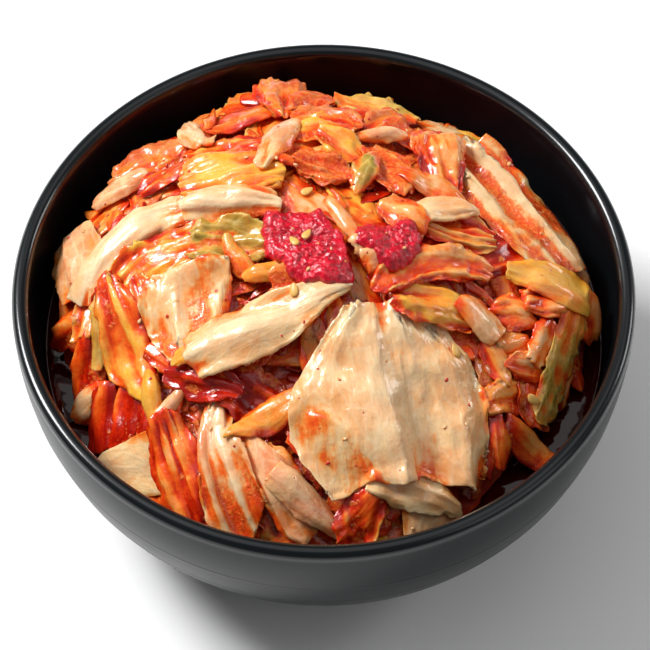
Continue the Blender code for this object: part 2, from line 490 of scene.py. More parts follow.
@dataclass(frozen=True)
class FloorFinish:
    """A plain pale floor; sizes in millimetres."""

    light: Color = tint(250, 250, 250)
    dark: Color = tint(248, 248, 249)
    cloud: float = 300.0
    roughness: float = 0.8

    def build(self) -> bpy.types.Material:
        """Return the floor's material."""
        graph = Graph("pale_floor")
        color = graph.mix(graph.noise(self.cloud), self.light, self.dark)
        return graph.finish({"Base Color": color, "Roughness": self.roughness})


# --------------------------------------------------------------------------- mesh tools


class Lattice:
    """Smooth random values in space, the same on every run."""

    SIDE = 32
    OCTAVES = ((1.0, 1.0, (0, 0)), (0.5, 2.1, (31, 17)), (0.25, 4.3, (53, 71)))
    SUM = 1.4

    def __init__(self, seed: int) -> None:
        """Fill the lattice from a seed."""
        self.values = np.random.default_rng(seed).uniform(-1, 1, (self.SIDE,) * 3)

    def at(self, x: Array, y: Array, z: float | Array, size: float) -> Array:
        """Sample the lattice.

        Args:
            x: First coordinate, in millimetres.
            y: Second coordinate.
            z: Third coordinate.
            size: Distance between the lattice's points.

        Returns:
            Values from about -1 to 1.
        """
        total = 0.0
        cells = []
        for part in (x, y, np.broadcast_to(z, np.shape(x))):
            place = np.asarray(part, float) / size
            whole = np.floor(place)
            share = place - whole
            cells.append((whole.astype(int), share * share * (3 - 2 * share)))
        for corner in range(8):
            weight = 1.0
            index = []
            for axis, (whole, share) in enumerate(cells):
                step = corner >> axis & 1
                weight = weight * (share if step else 1 - share)
                index.append((whole + step) % self.SIDE)
            total = total + weight * self.values[tuple(index)]
        return total

    def folds(self, x: Array, y: Array, z: float | Array, size: float) -> Array:
        """Sample three octaves of the lattice, from a size down.

        Args:
            x: First coordinate, in millimetres.
            y: Second coordinate.
            z: Third coordinate.
            size: Distance between the points of the first octave.

        Returns:
            Values from about -1 to 1.
        """
        total = 0.0
        for share, finer, (along, across) in self.OCTAVES:
            total = total + share * self.at(x + along, y + across, z, size / finer)
        return total / self.SUM


NOISE = Lattice(7)


@dataclass
class MeshBatch:
    """Points and four-sided faces gathered from many pieces, to be written as one mesh."""

    points: list[Array] = field(default_factory=list)
    faces: list[Array] = field(default_factory=list)
    routes: list[Array] = field(default_factory=list)
    dresses: list[Array] = field(default_factory=list)
    count: int = 0

    def add(self, points: Array, faces: Array, route: Array, dress: Array) -> None:
        """Add one closed piece.

        Args:
            points: Its points, in millimetres.
            faces: Its four-sided faces.
            route: Each point's place along the piece and across it.
            dress: Each point's stain, green, paleness and sauce.
        """
        self.points.append(points)
        self.faces.append(faces + self.count)
        self.routes.append(route)
        self.dresses.append(dress)
        self.count += len(points)

    def write(self, name: str, material: bpy.types.Material) -> bpy.types.Object:
        """Write the batch as one smooth object in metres, with its route and dress.

        Args:
            name: The object's name.
            material: Its material.

        Returns:
            The new object.
        """
        item = write_mesh(name, np.concatenate(self.points), np.concatenate(self.faces), material)
        mesh = item.data
        corners = np.concatenate(self.faces).ravel()
        route = np.concatenate(self.routes)[corners]
        mesh.uv_layers.new(name="along").data.foreach_set("uv", route.astype(np.float32).ravel())
        dress = np.concatenate(self.dresses)
        color = mesh.attributes.new("dress", "FLOAT_COLOR", "POINT")
        color.data.foreach_set("color", dress.astype(np.float32).ravel())
        return item


def write_mesh(name: str, points: Array, faces: Array, material: bpy.types.Material) -> bpy.types.Object:
    """Write points in millimetres and four-sided faces as a smooth object in metres.

    Args:
        name: The object's name.
        points: One row of three numbers for each point.
        faces: One row of four point numbers for each face.
        material: The object's material.

    Returns:
        The new object, linked to the scene.
    """
    mesh = bpy.data.meshes.new(name)
    mesh.vertices.add(len(points))
    mesh.vertices.foreach_set("co", (points * MM).astype(np.float32).ravel())
    mesh.loops.add(faces.size)
    mesh.loops.foreach_set("vertex_index", faces.astype(np.int32).ravel())
    mesh.polygons.add(len(faces))
    mesh.polygons.foreach_set("loop_start", np.arange(0, faces.size, 4, dtype=np.int32))
    mesh.polygons.foreach_set("loop_total", np.full(len(faces), 4, np.int32))
    mesh.polygons.foreach_set("use_smooth", np.ones(len(faces), bool))
    mesh.materials.append(material)
    mesh.update(calc_edges=True)
    mesh.validate()
    return put_in_scene(name, mesh)


def put_in_scene(name: str, data: bpy.types.ID) -> bpy.types.Object:
    """Make an object of a mesh, a light or a camera.

    Args:
        name: The object's name.
        data: The mesh, light or camera.

    Returns:
        The new object, linked to the scene.
    """
    item = bpy.data.objects.new(name, data)
    bpy.context.scene.collection.objects.link(item)
    return item


def grid_faces(rows: int, columns: int, start: int = 0, flip: bool = False) -> Array:
    """Make the faces between the points of a grid.

    Args:
        rows: How many rows of points.
        columns: How many points in a row.
        start: Number of the first point.
        flip: Whether the faces point down.

    Returns:
        One row of four point numbers for each face.
    """
    index = np.arange(rows * columns).reshape(rows, columns) + start
    quads = np.stack([index[:-1, :-1], index[1:, :-1], index[1:, 1:], index[:-1, 1:]], -1).reshape(-1, 4)
    return quads[:, ::-1] if flip else quads


def closed_sheet_faces(rows: int, columns: int) -> Array:
    """Make the faces of a sheet: a top grid, a bottom grid and a wall between their edges.

    Args:
        rows: How many rows of points each grid has.
        columns: How many points each row has.

    Returns:
        One row of four point numbers for each face.
    """
    count = rows * columns
    index = np.arange(count).reshape(rows, columns)
    edge = np.concatenate([index[0, :-1], index[:-1, -1], index[-1, :0:-1], index[:0:-1, 0]])
    after = np.roll(edge, -1)
    wall = np.stack([edge, after, after + count, edge + count], -1)
    return np.concatenate([grid_faces(rows, columns), grid_faces(rows, columns, count, True), wall])


def ring_faces(turns: int, columns: int, closed: bool) -> Array:
    """Make the faces between lines of points that stand side by side round an axis.

    Args:
        turns: How many lines stand round the axis.
        columns: How many points each line has.
        closed: Whether a line's last point joins its first.

    Returns:
        One row of four point numbers for each face.
    """
    index = np.arange(turns * columns).reshape(turns, columns)
    beside = np.roll(index, -1, 0)
    faces = np.stack([index, np.roll(index, -1, 1), np.roll(beside, -1, 1), beside], -1)
    return (faces if closed else faces[:, :-1]).reshape(-1, 4)


def lathe_points(profile: Array, steps: int) -> tuple[Array, Array]:
    """Turn a closed profile about the Z axis.

    Args:
        profile: Rows of radius and height; it goes out along the top and back along the bottom.
        steps: How many times it is repeated round the axis.

    Returns:
        The points and the faces.
    """
    angle = (np.arange(steps) * math.tau / steps)[:, None]
    radius, height = profile.T
    points = np.stack([radius * np.cos(angle), radius * np.sin(angle), np.tile(height, (steps, 1))], -1)
    return points.reshape(-1, 3), ring_faces(steps, len(profile), closed=True)


def arc(
    center: tuple[float, float], radii: tuple[float, float], start: float, end: float, count: int
) -> Array:
    """Return points along an ellipse's arc, from one angle to the other in degrees."""
    angle = np.radians(np.linspace(start, end, count))
    return np.stack([center[0] + radii[0] * np.cos(angle), center[1] + radii[1] * np.sin(angle)], -1)


def merge_close(item: bpy.types.Object, distance: float) -> None:
    """Merge an object's points that lie close together, and turn its faces outwards.

    Args:
        item: The object.
        distance: How close the points lie, in millimetres.
    """
    bm = bmesh.new()
    bm.from_mesh(item.data)
    bmesh.ops.remove_doubles(bm, verts=bm.verts, dist=distance * MM)
    bmesh.ops.delete(bm, geom=[edge for edge in bm.edges if edge.is_wire], context="EDGES")
    bmesh.ops.recalc_face_normals(bm, faces=bm.faces)
    bm.to_mesh(item.data)
    bm.free()


# --------------------------------------------------------------------------- bowl and brine


@dataclass
class Bowl:
    """The turned bowl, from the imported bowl's own size.

    Attributes:
        wall: Thickness of the wall.
        shoulder: Height at which the wall stands upright.
        floor: Height of the inside of its floor.
        floor_radius: How far the floor is flat.
        underside: Radius and height at which the outer curve ends.
        foot: The foot ring's outer and inner radius, and the height of the recess in it.
        bevel: How much is taken off the foot ring's corners.
        marks: Heights of the turning marks.
        mark_rise: How far a mark stands out.
        mark_width: Half the height of a mark.
        clearance: How far what lies in the bowl keeps from its wall.
        steps: How many facets there are round it.
    """

    wall: float = 4.0
    shoulder: float = 57.7
    floor: float = 8.5
    floor_radius: float = 36.0
    underside: tuple[float, float] = (39.6, 4.0)
    foot: Point = (38.0, 34.0, 3.5)
    bevel: float = 0.8
    marks: tuple[float, ...] = (44.4, 34.0)
    mark_rise: float = 0.10
    mark_width: float = 0.35
    clearance: float = 0.5
    steps: int = 220

    def __post_init__(self) -> None:
        """Take the rim's radius and height from the frame."""
        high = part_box("bowl")[1]
        self.radius = high.x / MM
        self.height = high.z / MM
        self.cavity = self.radius - self.wall

    def inner_radius(self, z: Array | float) -> Array:
        """Return the radius of the inside at a height."""
        depth = np.clip((self.shoulder - np.asarray(z, float)) / (self.shoulder - self.floor), 0, 1)
        return self.floor_radius + (self.cavity - self.floor_radius) * np.sqrt(1 - depth**2)

    def keep_inside(self, points: Array) -> Array:
        """Bring points that lie in the wall, or too close to it, back into the bowl.

        Args:
            points: One row of three numbers for each point; it is changed in place.

        Returns:
            The same rows.
        """
        radius = np.hypot(points[:, 0], points[:, 1])
        limit = self.inner_radius(points[:, 2]) - self.clearance
        share = np.minimum(1, limit / np.maximum(radius, 1e-6))
        points[:, :2] *= share[:, None]
        return points

    def _foot_line(self) -> Array:
        """Run the outline under the bowl.

        Returns:
            The foot ring's outline, from its outer side to the middle of its recess.
        """
        outside, inside, recess = self.foot
        bevel = self.bevel
        return np.array(
            [
                (outside + bevel / 2, self.underside[1] - 0.3),
                (outside, self.underside[1] - 1.0),
                (outside, bevel),
                (outside - bevel, 0.0),
                (inside + bevel, 0.0),
                (inside, bevel),
                (inside, recess - bevel / 2),
                (inside - 0.6, recess),
                (0.0, recess),
            ]
        )

    def profile(self) -> Array:
        """Draw the bowl's outline.

        Returns:
            Rows of radius and height, from the middle of the floor up, over the lip and down.
        """
        lip = self.wall / 2
        inner_radii = (self.cavity - self.floor_radius, self.shoulder - self.floor)
        inner = arc((self.floor_radius, self.shoulder), inner_radii, start=-90, end=0, count=60)
        top = arc((self.radius - lip, self.height - lip), (lip, lip), start=180, end=0, count=22)
        outer_radii = (self.radius - self.underside[0], self.shoulder - self.underside[1])
        outer = arc((self.underside[0], self.shoulder), outer_radii, start=0, end=-90, count=200)
        for mark in self.marks:
            outer[:, 0] += self.mark_rise * np.exp(-(((outer[:, 1] - mark) / self.mark_width) ** 2))
        return np.concatenate([[(0.0, self.floor)], inner, top[1:], outer, self._foot_line()])

    def build(self) -> None:
        """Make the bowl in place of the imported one."""
        points, faces = lathe_points(self.profile(), self.steps)
        item = write_mesh("bowl_glazed", points, faces, BowlFinish().build())
        merge_close(item, 0.001)
        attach(item, "root")
        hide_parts("bowl")
        LOG.info("bowl: %d faces", len(item.data.polygons))


@dataclass
class Brine:
    """The ring of brine between the foot of the heap and the bowl.

    Attributes:
        bowl: The bowl that it stands in.
        inner: The ring's inner radius, inside the heap.
        depth: How deep it goes.
        rise: How far its edge is drawn up the wall.
        draw: How far from the wall that starts.
        gap: How far its side keeps from the wall.
        steps: How many facets there are round it.
    """

    bowl: Bowl
    inner: float = 44.0
    depth: float = 9.0
    rise: float = 0.9
    draw: float = 1.2
    gap: float = 0.1
    steps: int = 220

    def __post_init__(self) -> None:
        """Take the level from the frame."""
        self.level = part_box("brine")[1].z / MM

    def profile(self) -> Array:
        """Draw the ring's outline, with the edge drawn up the wall a little.

        Returns:
            Rows of radius and height, out along the surface and back under it.
        """
        wall = float(self.bowl.inner_radius(self.level)) - self.gap / 2
        bottom = self.level - self.depth
        across = np.linspace(self.inner, wall, 40)
        surface = self.level + self.rise * np.exp(-(wall - across) / self.draw)
        down = np.linspace(self.level - 0.6, bottom, 10)
        side = np.stack([self.bowl.inner_radius(down) - self.gap, down], -1)
        return np.concatenate([np.stack([across, surface], -1), side, [(self.inner, bottom)]])

    def build(self) -> None:
        """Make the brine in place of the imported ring."""
        points, faces = lathe_points(self.profile(), self.steps)
        item = write_mesh("brine_pool", points, faces, BrineFinish().build())
        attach(item, "root")
        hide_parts("brine")
        LOG.info("brine: level %.1f mm", self.level)


# --------------------------------------------------------------------------- the heap's form


@dataclass(frozen=True)
class Edge:
    """The heap's outline at one bearing: its reach and its height above the rim."""

    bearing: float
    reach: float
    height: float


@dataclass
class Mound:
    """The form that the finished heap comes up to.

    Attributes:
        rim: The height of the bowl's rim.
        apex: The middle of the heap and its height above the rim.
        power: How full its slopes are.
        fall: How steeply it falls beyond its outline.
        ring: Radius of the circle round the bowl's axis on which bearings are read.
        outline: The edge, bearing by bearing.
    """

    rim: float
    apex: Point = (0.0, 6.0, 17.5)
    power: float = 1.9
    fall: float = 2.2
    ring: float = 62.5
    outline: tuple[Edge, ...] = (
        Edge(0, 66, -8),
        Edge(10, 66, -6),
        Edge(21, 59, -2),
        Edge(45, 60, 0),
        Edge(66, 59, 1),
        Edge(90, 61, 1),
        Edge(106, 64, 1),
        Edge(117, 60, 0),
        Edge(138, 65, -1),
        Edge(152, 62, -1),
        Edge(172, 66, -4),
        Edge(182, 64, -8),
        Edge(192, 64, -13),
        Edge(205, 60, -18),
        Edge(216, 64, -15),
        Edge(240, 66, -13),
        Edge(300, 66, -14),
        Edge(313, 64, -15),
        Edge(330, 61, -17),
        Edge(345, 62, -13),
        Edge(360, 66, -8),
    )

    def edge(self, bearing: Array) -> tuple[Array, Array]:
        """Read the outline.

        Args:
            bearing: Bearings from +X, in degrees.

        Returns:
            The reach from the bowl's axis, and the edge's height above the rim.
        """
        angles = [edge.bearing for edge in self.outline]
        turned = np.mod(bearing, 360)
        reach = np.interp(turned, angles, [edge.reach for edge in self.outline])
        height = np.interp(turned, angles, [edge.height for edge in self.outline])
        return reach, height

    def share(self, x: Array, y: Array) -> Array:
        """Return how far points are from the apex to the outline, as a share."""
        return self._survey(x, y)[0]

    def height(self, x: Array, y: Array) -> Array:
        """Return the form's height at points.

        Args:
            x: The points' first coordinate.
            y: The points' second coordinate.

        Returns:
            Millimetres above the table.
        """
        share, beyond, edge = self._survey(x, y)
        top = self.apex[2]
        return self.rim + top - (top - edge) * np.minimum(share, 1) ** self.power - beyond * self.fall

    def _survey(self, x: Array, y: Array) -> tuple[Array, Array, Array]:
        """Place points on the line from the apex through them to the outline.

        Args:
            x: The points' first coordinate.
            y: The points' second coordinate.

        Returns:
            Their share of that line, how far they lie beyond it, and the height at its end.
        """
        ax, ay = self.apex[:2]
        dx, dy = x - ax, y - ay
        span = np.hypot(dx, dy) + 1e-9
        ux, uy = dx / span, dy / span
        along = ux * ax + uy * ay
        length = -along + np.sqrt(along**2 - (ax * ax + ay * ay - self.ring * self.ring))
        bearing = np.degrees(np.arctan2(ay + uy * length, ax + ux * length))
        reach, edge = self.edge(bearing)
        length = length * reach / self.ring
        return span / length, np.maximum(span - length, 0), edge


class HeightField:
    """The height of what lies in the bowl so far, on a fine grid.

    STEP is the grid's spacing and REACH is how far it goes from the axis.  A sheet bridges a steep
    step for up to BRIDGE, and the part of the grid that is read for it goes at least MARGIN beyond.
    """

    STEP = 0.6
    REACH = 74.0
    BRIDGE = 5
    MARGIN = 6

    def __init__(self, level: float) -> None:
        """Start with a flat field.

        Args:
            level: The height that it has everywhere.
        """
        count = int(round(2 * self.REACH / self.STEP)) + 1
        self.axis = (np.arange(count) - (count - 1) / 2) * self.STEP
        self.x, self.y = np.meshgrid(self.axis, self.axis, indexing="ij")
        self.z = np.full((count, count), level)

    def cells(self, values: Array) -> Array:
        """Return the grid position of coordinates, as real numbers."""
        return np.clip((values - self.axis[0]) / self.STEP, 0, len(self.axis) - 1.001)

    @staticmethod
    def sample(grid: Array, i: Array, j: Array) -> Array:
        """Read a grid between its points.

        Args:
            grid: The grid's values.
            i: Positions along its first axis, in cells.
            j: Positions along its second axis, in cells.

        Returns:
            The values there.
        """
        low_i, low_j = np.floor(i).astype(int), np.floor(j).astype(int)
        low_i = np.minimum(low_i, grid.shape[0] - 2)
        low_j = np.minimum(low_j, grid.shape[1] - 2)
        fi, fj = i - low_i, j - low_j
        return (
            grid[low_i, low_j] * (1 - fi) * (1 - fj)
            + grid[low_i + 1, low_j] * fi * (1 - fj)
            + grid[low_i, low_j + 1] * (1 - fi) * fj
            + grid[low_i + 1, low_j + 1] * fi * fj
        )

    def at(self, x: Array, y: Array) -> Array:
        """Return the height at points."""
        return self.sample(self.z, self.cells(np.asarray(x, float)), self.cells(np.asarray(y, float)))

    def drape(self, x: Array, y: Array, slope: float, blur: float) -> Array:
        """Return the height at which a sheet would lie over the field.

        Args:
            x: The sheet's points.
            y: The sheet's points.
            slope: The steepest slope it follows; steeper steps are bridged.
            blur: How stiff it is, in millimetres.

        Returns:
            The sheet's height at each point.
        """
        margin = int((self.MARGIN + 2 * blur) / self.STEP)
        i, j = self.cells(x), self.cells(y)
        i0 = max(0, int(i.min()) - margin)
        j0 = max(0, int(j.min()) - margin)
        part = self.z[i0 : int(i.max()) + margin, j0 : int(j.max()) + margin].copy()
        drop = slope * self.STEP
        for _ in range(int(self.BRIDGE / self.STEP)):
            part[1:] = np.maximum(part[1:], part[:-1] - drop)
            part[:-1] = np.maximum(part[:-1], part[1:] - drop)
            part[:, 1:] = np.maximum(part[:, 1:], part[:, :-1] - drop)
            part[:, :-1] = np.maximum(part[:, :-1], part[:, 1:] - drop)
        part = self.blur(part, blur / self.STEP)
        return self.sample(part, i - i0, j - j0)

    @staticmethod
    def blur(grid: Array, width: float) -> Array:
        """Blur a grid.

        Args:
            grid: The grid's values.
            width: How wide the blur is, in cells; one under half a cell does nothing.

        Returns:
            The blurred grid.
        """
        if width < 0.5:
            return grid
        reach = int(2.5 * width)
        taps = np.exp(-0.5 * (np.arange(-reach, reach + 1) / width) ** 2)
        taps /= taps.sum()
        for axis in (0, 1):
            pad = [(reach, reach) if axis == side else (0, 0) for side in (0, 1)]
            wide = np.pad(grid, pad, mode="edge")
            size = grid.shape[axis]
            grid = sum(tap * np.take(wide, range(k, k + size), axis) for k, tap in enumerate(taps))
        return grid

    def raise_to(self, points: Array) -> None:
        """Raise the field to a piece laid on it.

        Args:
            points: The piece's points.
        """
        i = np.round(self.cells(points[:, 0])).astype(int)
        j = np.round(self.cells(points[:, 1])).astype(int)
        np.maximum.at(self.z, (i, j), points[:, 2])


# --------------------------------------------------------------------------- cut cabbage


class Kind(Enum):
    """The kinds of cut cabbage, one mesh and one finish each."""

    PALE = "pale_leaves"
    YELLOW = "yellow_leaves"
    GREEN = "green_leaves"
    STEM = "stems"
    SOAKED = "soaked_leaves"
    UNDER = "under_leaves"


# Each kind's finish, with the colours of its flesh, its cloudy patches and its ribs.
FINISHES = {
    Kind.PALE: CabbageFinish("pale_leaf", tint(248, 200, 146), tint(245, 174, 110), tint(252, 220, 182)),
    Kind.YELLOW: CabbageFinish("yellow_leaf", tint(252, 172, 50), tint(248, 130, 22), tint(254, 202, 112)),
    Kind.GREEN: CabbageFinish("green_leaf", tint(232, 180, 84), tint(214, 142, 48), tint(242, 214, 134)),
    Kind.STEM: CabbageFinish("stem", tint(240, 184, 130), tint(232, 138, 82), tint(252, 222, 180)),
    Kind.SOAKED: CabbageFinish("soaked_leaf", tint(246, 160, 78), tint(238, 116, 44), tint(250, 200, 136)),
    Kind.UNDER: CabbageFinish("under_leaf", tint(222, 118, 52), tint(202, 76, 28), tint(236, 158, 94)),
}


def spline(knots: Array, values: Array, places: Array) -> Array:
    """Run a smooth curve through values.

    Args:
        knots: Where each value is reached, rising.
        values: One row for each knot.
        places: Where the curve is wanted.

    Returns:
        One row for each place.
    """
    slopes = np.gradient(values, knots, axis=0)
    cell = np.clip(np.searchsorted(knots, places, side="right") - 1, 0, len(knots) - 2)
    span = (knots[cell + 1] - knots[cell])[:, None]
    share = ((places - knots[cell]) / span[:, 0])[:, None]
    square, cube = share**2, share**3
    return (
        values[cell] * (2 * cube - 3 * square + 1)
        + values[cell + 1] * (3 * square - 2 * cube)
        + slopes[cell] * span * (cube - 2 * square + share)
        + slopes[cell + 1] * span * (cube - square)
    )


class Shape(Enum):
    """Outlines: share of the width at the start, where it is widest, and share at the end."""

    STRIP = (0.75, 0.5, 0.75)
    LEAF = (0.5, 0.5, 0.4)
    BLADE = (0.75, 0.35, 0.1)
    FAN = (0.4, 0.85, 0.85)
    SHIELD = (0.74, 0.42, 0.34)


@dataclass(frozen=True)
class Body:
    """How a sort of piece is built, in millimetres and degrees.

    Attributes:
        thick: Thickness in the middle.
        thin: Thickness at the sides.
        cup: Turn across the width; a positive one lifts both sides.
        crumple: Height of the folds.
        fold: Size of the folds.
        pleat: Height of the folds that run lengthwise.
        pleat_step: Distance between those.
        ruffle: Height of the frills at the edge.
        rib: Height of the fine ribs.
        ragged: How uneven the outline is.
        corner: How round the corners are, from 0 to 1.
        clear: How far it is held off what lies below it, from 0 to 1.
        wave: Height of the broad waves across it, fullest at its start.
    """

    thick: float = 0.9
    thin: float = 0.5
    cup: float = -12.0
    crumple: float = 0.9
    fold: float = 6.0
    pleat: float = 0.9
    pleat_step: float = 3.2
    ruffle: float = 0.5
    rib: float = 0.14
    ragged: float = 0.22
    corner: float = 0.4
    clear: float = 0.6
    wave: float = 0.0


POCKET = Body(
    cup=-44, crumple=1.0, fold=8, pleat=0.6, pleat_step=5, ragged=0.08, corner=0.15, clear=1.0, wave=1.4
)
SHEET = Body(crumple=1.1, fold=4.5, pleat_step=2.6, ragged=0.28, corner=0.2)
BROAD = Body(
    cup=-24, crumple=0.8, fold=11, pleat=0.8, pleat_step=7, rib=0.06, ragged=0.05, corner=0.02, clear=1.0,
    wave=3.2,
)
SMOOTH = Body(cup=-16, crumple=0.6, fold=9, pleat=0.5, pleat_step=5, ragged=0.1, corner=0.3, clear=1.0)
STOUT = Body(
    thick=1.9, thin=1.0, cup=-26, crumple=0.5, pleat=0.6, rib=0.3, ruffle=0.2, ragged=0.2, corner=0.3
)
RIBBED = Body(thick=1.6, thin=0.8, cup=-20, crumple=0.4, pleat=1.1, pleat_step=2.6, rib=0.3, ragged=0.12)
FRILLY = Body(cup=10, crumple=1.3, fold=4.5, pleat=1.0, pleat_step=2.6, ruffle=1.3, ragged=0.3)
FILM = Body(
    thick=0.6, thin=0.35, cup=-18, crumple=1.0, fold=5, pleat=1.1, pleat_step=2.6, ragged=0.3, corner=0.2
)
CHUNK = Body(
    thick=2.4, thin=1.0, cup=-10, crumple=1.4, fold=3.5, pleat=1.0, pleat_step=2.2, ragged=0.35, corner=0.2
)


@dataclass(frozen=True)
class Cut:
    """One cut piece of cabbage, bent along an arc and laid on the heap.

    Its points are numbered along it by s and across it by t, each from -1 to 1.

    Attributes:
        kind: Which kind it is.
        body: How it is built.
        x: Its middle.
        y: Its middle.
        length: Its length along the arc.
        width: Its greatest width.
        heading: Direction at its middle, in degrees from +X.
        shape: Its outline, from its start to its end.
        bend: How far it turns to the left over its length, in degrees.
        rise: How far it lies above the heap's form.
        arch: How much further its middle rises.
        lift: How much further its end rises.
        tilt: How far its left side is lifted, in degrees.
        skew: How much more of its width lies to the left, from -1 to 1.
        stain: How far sauce has soaked in all over.
        sauce: How much pulp of the sauce clings to it.
        green: How green it is.
        pale: How white its middle rib is.
        cling: How closely it lies on what is below, from 0 to 1.
    """

    kind: Kind
    body: Body
    x: float
    y: float
    length: float
    width: float
    heading: float
    shape: Shape = Shape.LEAF
    bend: float = 0.0
    rise: float = 1.2
    arch: float = 0.0
    lift: float = 0.0
    tilt: float = 0.0
    skew: float = 0.0
    stain: float = 0.2
    sauce: float = 0.15
    green: float = 0.0
    pale: float = 0.2
    cling: float = 0.7

    STATIONS = 9  # places along the arc where its course is set
    CROWDING = 1.35  # how much closer the points lie at the edges
    APART = 3.7  # how far each piece's noise lies from the last one's
    PROBE = 0.4  # how far ahead and behind the heading is measured
    TEAR = 2.2  # how far the most ragged side is torn
    STEEPEST = 0.7  # the steepest fold that draws the sheet in
    EASY_SLOPE, EASY_BLUR = 1.4, 1.5  # how the sheet as a whole follows what lies below
    CLOSE_SLOPE, CLOSE_BLUR = 3.0, 0.6  # how it does where it touches
    MOST_RAISED = 3.0  # the most that a sunken piece is raised by
    SPRING = 0.05  # how gently it is pushed off what lies below
    GRAIN = 0.05  # height of the grain on its upper side
    EDGE_THICKNESS = 0.30  # its thickness at the brink, as a share
    RIM_STAIN = 0.62  # how much more sauce its edges take
    FOLD_STAIN_AND_SHADE = 0.40  # how much more its hollows take and its crests lose: sauce in the creases, and partly painted shade in the hollows and painted light on the crests
    WAVES = 2.3  # how many of its broad waves lie across it

    def course(self) -> Array:
        """Set out stations along the arc.

        Returns:
            A row for each: x, y, rise, width to the left, width to the right, and tilt.
        """
        share = np.linspace(0, 1, self.STATIONS)
        angle = np.radians(self.heading + self.bend * (share - 0.5))
        step = self.length / (self.STATIONS - 1)
        between = (angle[1:] + angle[:-1]) / 2
        x = np.concatenate([[0], np.cumsum(np.cos(between))]) * step
        y = np.concatenate([[0], np.cumsum(np.sin(between))]) * step
        x += self.x - x[self.STATIONS // 2]
        y += self.y - y[self.STATIONS // 2]
        rise = self.rise + self.arch * (1 - (2 * share - 1) ** 2) + self.lift * share
        start, widest, end = self.shape.value
        before = share < widest
        near = np.where(before, share / widest, (1 - share) / (1 - widest))
        least = np.where(before, start, end)
        half = self.width / 2 * (least + (1 - least) * np.sin(near * math.pi / 2))
        tilt = np.full(self.STATIONS, np.radians(self.tilt))
        return np.stack([x, y, rise, half * (1 + self.skew), half * (1 - self.skew), tilt], -1)

    def place(
        self, heap: HeightField, mound: Mound, bowl: Bowl, spacing: float, seed: int, loose: bool
    ) -> tuple[Array, ...]:
        """Lay the piece on the heap.

        Args:
            heap: What lies there so far; it is raised to this piece.
            mound: The form that rises are measured from.
            bowl: The bowl that it stays inside.
            spacing: Distance between the sheet's points.
            seed: Seed of its own irregularities.
            loose: Whether it rests on what lies below instead of at its own rise.

        Returns:
            Points, faces, surface coordinates and dress.
        """
        body, stations = self.body, self.course()
        knots = np.linspace(0, self.length, self.STATIONS)
        rows, columns = max(9, int(self.length / spacing)), max(7, int(self.width / spacing))
        s, t = self._grid(rows, columns)
        brink = 1 - np.maximum(np.abs(s), np.abs(t))
        z = seed * self.APART
        long = s * np.sqrt(1 - body.corner * t * t / 2)
        wide = t * np.sqrt(1 - body.corner * s * s / 2)
        flat = (long + 1) / 2 * self.length
        jag = NOISE.folds(flat, wide * 4, z, 5.0)
        ends = NOISE.folds(wide * self.width / 2, flat * 0.1, z + 5, 4.0)
        flat = flat + np.sign(s) * np.abs(s) ** 6 * body.ragged * 6 * ends
        reach = np.clip(flat, 0, self.length)
        course = spline(knots, stations, reach.ravel()).reshape(rows, columns, 6)
        ahead, behind = (
            spline(knots, stations[:, :2], np.clip(reach + probe, 0, self.length).ravel())
            for probe in (self.PROBE, -self.PROBE)
        )
        heading = (ahead - behind).reshape(rows, columns, 2)
        heading /= np.linalg.norm(heading, axis=-1, keepdims=True) + 1e-9
        torn = self.TEAR * body.ragged * NOISE.folds(flat, np.sign(t) * 9, z + 7, 1.9)
        across = wide * np.where(wide > 0, course[..., 3], course[..., 4]) * (1 + body.ragged * jag)
        across = across + np.sign(t) * np.abs(t) ** 5 * torn
        folds = self._folds(flat, across, s, t, z)
        slip = np.gradient(folds, axis=1) / (np.gradient(across, axis=1) + 1e-6)
        drift = np.gradient(folds, axis=0) / (np.gradient(flat, axis=0) + 1e-6)
        drawn = across + np.clip(slip, -self.STEEPEST, self.STEEPEST) * body.fold / 14
        beyond = flat - reach + np.clip(drift, -self.STEEPEST, self.STEEPEST) * body.fold / 14
        tilt, bend = course[..., 5], math.radians(body.cup) / self.width
        side = (np.sin(tilt + bend * drawn) - np.sin(tilt)) / bend
        up = (np.cos(tilt) - np.cos(tilt + bend * drawn)) / bend
        x = course[..., 0] - heading[..., 1] * side + heading[..., 0] * beyond
        y = course[..., 1] + heading[..., 0] * side + heading[..., 1] * beyond
        lying = heap.drape(x, y, self.EASY_SLOPE, self.EASY_BLUR)
        over = lying + body.thick / 2 + 0.2
        if loose:
            height = self._soften(lying) + course[..., 2] + up
            height = height + np.quantile(over - height, 0.5)
        else:
            height = mound.height(x, y) + course[..., 2] + up
            rest = over + 0.35 * course[..., 2] * (1 - t * t) + 0.5 * up
            height = height + self.cling * (rest - height)
            height = height + np.clip(np.quantile(over - height, 0.6), 0, self.MOST_RAISED)
        middle = np.stack([x, y, height], -1)
        middle = middle + self._normals(middle) * folds[..., None]
        below = heap.drape(middle[..., 0], middle[..., 1], self.CLOSE_SLOPE, self.CLOSE_BLUR)
        below = below + body.thick / 2 + 0.1
        clear = np.maximum(over - 0.1, np.where(body.clear == 1, below, -np.inf)) - middle[..., 2]
        middle[..., 2] += body.clear * (clear / 2 + np.sqrt(clear * clear / 4 + self.SPRING))
        normal = self._normals(middle)
        ribs = body.rib * NOISE.at(flat * 0.05, across, z + 2, 1.8)
        grain = self.GRAIN * NOISE.at(flat, across, z + 8, 1.3)
        depth = body.thin + (body.thick - body.thin) * (1 - np.abs(t) ** 2.5)
        fullness = np.sqrt(np.clip(brink * self.width / 2.4, 0, 1))
        depth = depth * (self.EDGE_THICKNESS + (1 - self.EDGE_THICKNESS) * fullness)
        top = middle + normal * (depth / 2 + ribs + grain)[..., None]
        low = middle - normal * (depth / 2)[..., None]
        points = bowl.keep_inside(np.concatenate([top.reshape(-1, 3), low.reshape(-1, 3)]))
        heap.raise_to(points)
